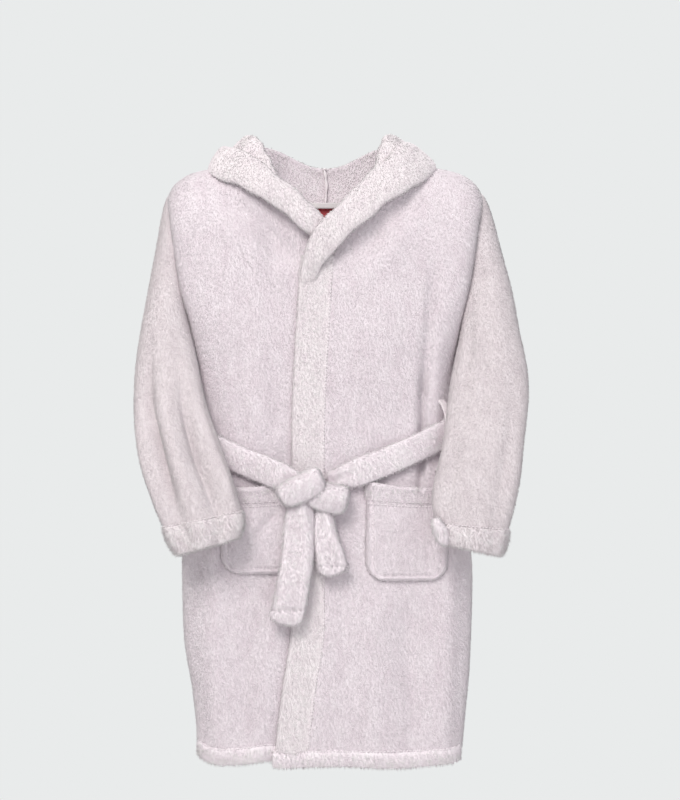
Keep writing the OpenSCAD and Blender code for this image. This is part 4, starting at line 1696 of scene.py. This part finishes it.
@dataclass
class Tail(Assembly):
    """A free end of the belt, hanging from the knot and bending where it leaves it."""

    name: str = "long"
    mid_x: Curve = field(default_factory=lambda: Curve((0, -31), (0.35, -33), (0.7, -41), (1, -51)))
    half: Curve = field(default_factory=lambda: Curve((0, 13), (0.2, 17), (0.6, 18.5), (1, 19)))
    top_z: float = -392.0
    low_z: float = -546.0
    y: float = -71.0
    node: str = "belt_tail_long"
    tilt: float = -4.0

    def build(self) -> None:
        """Makes the tail as a doubled strip of fleece with a stitched end."""
        x, y, top = float(self.mid_x(0)) * MM, self.y * MM, self.top_z * MM
        self.bend = (f"tail_{self.name}", Vector((x, y, top - 0.006)), Vector((x, y, top - 0.04)))
        u, v = grid_of(22, 70)
        span = self.top_z - self.low_z
        z = self.low_z + span * v
        x = self.mid_x(1 - v) + self.half(1 - v) * (u * 2 - 1)
        corner = np.clip(1 - v / 0.09, 0, 1)
        z = z + 5.0 * np.abs(u * 2 - 1) ** 3 * corner + self.tilt * (u * 2 - 1) * corner
        crown = 3.5 * (1 - np.abs(u * 2 - 1) ** 2.5) - 2.2 * bump(v, 0.1, 0.018) * (span / 150)
        y = self.y - crown - 2.5 * np.sin(v * 5) - 1.6 * np.sin(u * 7 + v * 4)
        grid = np.stack([x, y, z], -1)
        cloth = Cloth(f"tail_{self.name}", grid, 8.0, BELT_FLEECE_PAINTED_LIGHT, Facing.FRONT, pile_inside=0.8)
        self.dress(cloth, "belt_fleece", (self.node,), (40, span + 6), 0.95, EDGE_NAP, ("knot_over",))


# ---- pockets ----


@dataclass
class Pocket(Assembly):
    """A patch pocket with a piped outline and a turned hem along its top."""

    torso: Torso = field(default_factory=Torso)
    side: int = 1
    name: str = "left"
    mid: float = 106.5
    top: float = -368.0
    width: float = 107.0
    height: float = 127.0
    hem: float = 20.0
    corner: float = 26.0
    stitch_in: float = 7.5
    lower: bool = False

    def half(self, h: np.ndarray) -> np.ndarray:
        """Works out how wide the pocket is.

        Args:
            h: Height above the pocket's bottom.

        Returns:
            The half width there, which narrows round the lower corners.
        """
        d = np.clip(self.corner - h, 0, None)
        flare = 1.5 * (1 - h / self.height)
        return self.width / 2 - self.corner + np.sqrt(np.maximum(0, self.corner**2 - d**2)) + flare - 1.5

    def height_at(self, w: np.ndarray, h: np.ndarray) -> np.ndarray:
        """Returns the frame height of a place on the pocket; its mouth sags and slants down outwards."""
        share = h / self.height
        return self.top - self.height + h - 3 * (1 - w**2) * share**4 - 4 * (self.side * w + 1) * share**2

    def build(self) -> None:
        """Makes the pocket cloth, its hem, its piping and its stitches."""
        u, v = grid_of(48, 52)
        h = (self.height - self.hem + 1) * v**1.5
        w = u * 2 - 1
        x = self.side * self.mid + self.half(h) * w
        low = self.top - self.height
        # how far in from the outline each point is: the cloth swells up from it, with a piped line round it
        inset = np.minimum((1 - np.abs(w)) * self.half(h), h + 0.5)
        belly = 5.0 * ease(inset / 7) + 4.5 * ease(h / 80) * (1 - np.abs(w) ** 3)
        piping = 1.8 * bump(inset, 3.4, 2.4) - 1.7 * bump(inset, self.stitch_in, 2.2)
        groove = 1 - 0.85 * bump(inset, self.stitch_in, 1.6)
        middle = self.side * self.mid
        depth = -2.6 if self.side < 0 else -1.0
        crease = Fold(middle + 24, self.top - 30, middle - 16, self.top - 76, 6.0, depth).lift(x, low + h)
        grid = self.torso.on_body(x, self.height_at(w, h), 3.0 + belly + piping + crease, 1, self.lower)
        cloth = Cloth(f"pocket_patch_{self.name}", grid, 4.0, BODY_FLEECE, pile=groove)
        flat = (self.width, self.height)
        self.dress(
            cloth, "fleece", (f"pocket_{self.name}",), flat, 0.9, BODY_NAP, (f"front_{self.name}",)
        )
        u, v = grid_of(48, 10)
        w = u * 2 - 1
        h = self.height - self.hem + self.hem * v
        x = self.side * self.mid + (self.half(h) + 1.2) * w
        side_in = np.minimum(1, (1 - np.abs(w)) * 53 / 9)
        out = (
            3.4
            + 5.6 * ease(side_in)
            + 4.6 * (1 - np.abs(w) ** 3)
            + 1.2 * np.sin(v * math.pi)
            + 2.6 * bump(v, 1, 0.25)
        )
        grid = self.torso.on_body(x, self.height_at(w, h), out, 1, self.lower)
        hem = Cloth(f"pocket_mouth_{self.name}", grid, 6.0, BODY_FLEECE, pile=ease(v / 0.2))
        node, flat = (f"pocket_hem_{self.name}",), (self.width, self.hem + 4)
        self.dress(hem, "hem_fleece", node, flat, 1.0, HEM_NAP, (f"pocket_patch_{self.name}",))
        self.sew()

    def sew(self) -> None:
        """Sews the hem with two rows and the outline with one, set in from the edge."""
        w = np.linspace(-0.96, 0.96, 60)
        rows = []
        for drop in (0.5, 6.0):
            h = np.full(60, self.height - self.hem - drop)
            x = self.side * self.mid + self.half(h) * w
            out = 3.0 + 6.6 + 4.5 * (1 - np.abs(w) ** 3)
            rows.append(self.torso.on_body(x, self.height_at(w, h), out, 1, self.lower))
        down = np.linspace(self.height - self.hem, self.corner, 30)
        arc = np.radians(np.linspace(0, 90, 16))
        reach = self.width / 2 - 1.5
        r = self.corner - self.stitch_in
        straight = np.full(len(down), reach - self.stitch_in)
        middle = reach - self.corner
        xs = np.concatenate([-straight, -middle - r * np.cos(arc), middle + r * np.sin(arc), straight])
        hs = np.concatenate(
            [down, self.corner - r * np.sin(arc), self.corner - r * np.cos(arc), down[::-1]]
        )
        out = 3.0 + 4.2 + 4.5 * ease(hs / 80) * (1 - (np.abs(xs) / reach) ** 3)
        z = self.height_at(xs / reach, hs)
        rows.append(self.torso.on_body(self.side * self.mid + xs, z, out, 1, self.lower))
        self.settle(stitches(f"pocket_stitches_{self.name}", rows), "fleece")


# ---- neck fittings ----


@dataclass
class NeckFittings(Assembly):
    """The tape over the back neck seam, the plain label and the hanging loop."""

    def build(self) -> None:
        """Makes the three small woven pieces."""
        u, v = grid_of(40, 8)
        a = np.radians(mix(-34, 34, u))
        z = mix(-13.5, -3.0, v) + 58 * np.abs(np.sin(a)) ** 2.4
        grid = np.stack([84 * np.sin(a), -17.2 + 30 * np.cos(a), z], -1)
        self.dress(
            Cloth("neck_ribbon", grid, 1.2, TAPE),
            "tape",
            ("neck_tape",),
            (104, 13),
            1.0,
            None,
            ("back",),
            "stretched",
        )
        low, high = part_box("neck_label")
        u, v = grid_of(20, 10)
        x = mix(low.x / MM, high.x / MM, u)
        z = mix(low.z / MM, high.z / MM + 4, v)
        grid = np.stack([x, low.y / MM - 0.6 * np.sin(u * 5) * (1 - v), z], -1)
        self.dress(
            Cloth("label", grid, 0.9, LABEL),
            "label",
            ("neck_label",),
            (38, 16),
            1.0,
            None,
            ("neck_ribbon",),
        )
        low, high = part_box("hanging_loop")
        t = np.linspace(0, 1, 60)
        half, reach = (high.x - low.x) / 2 / MM, (high.y - low.y) / MM
        y = high.y / MM - (reach - 1) * np.sin(t * math.pi) ** 0.7
        path = np.stack([-half * np.cos(t * math.pi), y, -3 + 0 * t], -1)
        u, v = grid_of(60, 6)
        grid = np.repeat(path[:, None, :], 6, axis=1)
        grid[..., 2] += 6 * (v - 0.5)
        thing = Cloth("loop_ribbon", grid, 1.1, TAPE).build()
        self.settle(thing, "tape", "hanging_loop")


# ---- the setting ----


@dataclass
class Studio:
    """Camera, soft lights, pale world and floor."""

    distance: float = 3000.0
    picture_h: float = 1040.0
    middle: tuple[float, float] = (19.5, -260.0)
    sensor: float = 36.0
    floor_z: float = -1250.0
    floor_radius: float = 2.0
    robe_front: float = 46.0
    aim: tuple[float, float, float] = (0.0, 0.0, -0.32)

    def light(
        self, name: str, place: tuple[float, float, float], size: float, power: float, colour: str
    ) -> None:
        """Adds a soft square light that looks at the robe's middle.

        Args:
            name: The light's name.
            place: Where it stands, in metres.
            size: The length of its side, in metres.
            power: Its power in watts.
            colour: Its colour as a hex code.
        """
        data = bpy.data.lights.new(name, "AREA")
        data.shape, data.size, data.energy, data.color = "SQUARE", size, power, linear(colour)[:3]
        lamp = bpy.data.objects.new(name, data)
        lamp.location = place
        lamp.rotation_euler = (Vector(self.aim) - Vector(place)).to_track_quat("-Z", "Y").to_euler()
        bpy.context.scene.collection.objects.link(lamp)

    def build(self) -> None:
        """Sets the camera, the lights, the world and the floor."""
        scene = bpy.context.scene
        data = bpy.data.cameras.new("camera")
        data.sensor_width = self.sensor
        data.lens = self.sensor * (self.distance - self.robe_front) / self.picture_h
        camera = bpy.data.objects.new("camera", data)
        camera.location = (self.middle[0] * MM, -self.distance * MM, self.middle[1] * MM)
        camera.rotation_euler = (math.pi / 2, 0, 0)
        scene.collection.objects.link(camera)
        scene.camera = camera
        self.light("key", (-0.75, -2.5, 1.5), 1.3, 60, "#fffcf8")
        self.light("back", (0.9, 2.4, 1.3), 2.0, 42, "#ffffff")
        self.light("fill", (1.6, -2.4, 0.0), 2.2, 9, "#f6f8ff")
        world = bpy.data.worlds.new("pale studio")
        world.use_nodes = True
        tree = world.node_tree
        tree.nodes["Background"].inputs["Color"].default_value = linear("#e9ebeb")
        seen = add_node(tree, "ShaderNodeLightPath").outputs["Is Camera Ray"]
        bright = add_node(tree, "ShaderNodeMapRange", Value=seen, To_Min=0.64, To_Max=1.0)
        tree.links.new(bright.outputs[0], tree.nodes["Background"].inputs["Strength"])
        scene.world = world
        scene.view_settings.view_transform = "Standard"
        mesh = bpy.data.meshes.new("floor")
        corners = 48
        angles = [k * 2 * math.pi / corners for k in range(corners)]
        r, z = self.floor_radius, self.floor_z * MM
        mesh.from_pydata(
            [(r * math.cos(a), r * math.sin(a), z) for a in angles], [], [list(range(corners))]
        )
        mesh.materials.append(Plain("pale floor paint", "#f3f3f2", rough=0.8, sheen=0.0).material())
        floor = bpy.data.objects.new("floor", mesh)
        scene.collection.objects.link(floor)


def sleeve_right() -> Sleeve:
    """Returns the wearer's right sleeve, which swings a little in front of the body and is creased."""
    return Sleeve(
        body="sleeve_right",
        seed=40,
        side=-1,
        name="right",
        outer_x=Curve(
            (0, 189), (0.13, 217), (0.3, 239), (0.45, 249), (0.65, 240), (0.83, 223), (0.94, 209),
            (1, 190),
        ),
        outer_z=Curve(
            (0, -458), (0.13, -400), (0.3, -325), (0.45, -258), (0.65, -160), (0.83, -62), (0.94, 6),
            (1, 28),
        ),
        inner_x=Curve(
            (0, 110), (0.06, 106), (0.13, 112), (0.3, 137), (0.45, 158), (0.65, 177), (0.83, 186),
            (0.94, 176), (1, 166),
        ),
        inner_z=Curve(
            (0, -436), (0.06, -410), (0.13, -382), (0.3, -316), (0.45, -250), (0.65, -165), (0.83, -85),
            (0.94, -40), (1, -8),
        ),
        creases=(
            (30, 0.3, 0.19, 11, -16), (64, 0.24, 0.18, 14, 5), (337, 0.26, 0.2, 11, -17),
            (6, 0.28, 0.2, 12, 6), (306, 0.24, 0.2, 12, 4.5),
        ),
        cuff_share=0.075,
        cuff_nodes=("cuff_right",),
        shell_nodes=("sleeve_right", "sleeve_head_right"),
    )


def hood_rolls() -> list[HoodRoll]:
    """Returns the outer and inner rolls of the hood's front edge on both sides."""
    return [
        HoodRoll(seed=60, name="left", nodes=("hood_roll_left",)),
        HoodRoll(
            seed=64,
            name="right",
            path_x=Curve(
                (0, 16), (0.12, -2), (0.3, -29), (0.55, -72), (0.78, -108), (0.92, -132), (1, -146)
            ),
            path_y=Curve(
                (0, -46), (0.12, -52), (0.3, -57), (0.55, -55), (0.78, -42), (0.92, -24), (1, -4)
            ),
            path_z=Curve((0, -60), (0.12, -42), (0.3, -17), (0.55, 17), (0.78, 40), (0.92, 52), (1, 57)),
            half=Curve((0, 12), (0.2, 15), (0.5, 17), (0.9, 23), (1, 22)),
            nodes=("hood_roll_right",),
        ),
        HoodRoll(
            seed=68,
            name="inner_left",
            path_x=Curve((0, 66), (0.4, 78), (0.8, 90), (1, 95)),
            path_y=Curve((0, -42), (0.4, -34), (0.8, -18), (1, 6)),
            path_z=Curve((0, 16), (0.4, 44), (0.8, 72), (1, 80)),
            half=Curve((0, 9), (0.4, 13), (0.8, 17), (1, 17)),
        ),
        HoodRoll(
            seed=72,
            name="inner_right",
            path_x=Curve((0, -64), (0.4, -83), (0.8, -103), (1, -111)),
            path_y=Curve((0, -42), (0.4, -34), (0.8, -18), (1, 4)),
            path_z=Curve((0, 16), (0.4, 44), (0.8, 70), (1, 76)),
            half=Curve((0, 9), (0.4, 14), (0.8, 19), (1, 19)),
        ),
    ]


def main() -> None:
    """Builds the robe's sub-assemblies in order, then the setting."""
    logging.basicConfig(level=logging.INFO, format="%(message)s")
    torso = Torso(seed=10)
    parts = [
        torso,
        Sleeve(
            body="sleeve_left",
            seed=30,
            cuff_nodes=("cuff_left",),
            shell_nodes=("sleeve_left", "sleeve_head_left"),
        ),
        sleeve_right(),
        CuffTurn(body="sleeve_left", seed=36),
        Gusset(side=1, name="left"),
        Gusset(side=-1, name="right"),
        HoodHalf(seed=50, side=1, name="left"),
        HoodHalf(seed=54, side=-1, name="right"),
        *hood_rolls(),
        Belt(seed=80, torso=torso),
        Knot(seed=90),
        Tail(body="tail_long", seed=95),
        Tail(
            body="tail_short",
            seed=97,
            name="short",
            mid_x=Curve((0, -1), (0.3, 0), (0.7, 6), (1, 10)),
            half=Curve((0, 9), (0.3, 12), (0.7, 16), (1, 18)),
            top_z=-396.0,
            low_z=-483.0,
            y=-67.0,
            node="belt_tail_short",
            tilt=3.0,
        ),
        Pocket(seed=100, torso=torso, side=1, name="left"),
        Pocket(
            seed=110, torso=torso, side=-1, name="right", mid=82.0, top=-368.0, height=118.0, lower=True
        ),
        NeckFittings(seed=120),
        Studio(),
    ]
    for part in parts:
        part.build()


if __name__ == "__main__":
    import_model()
    main()
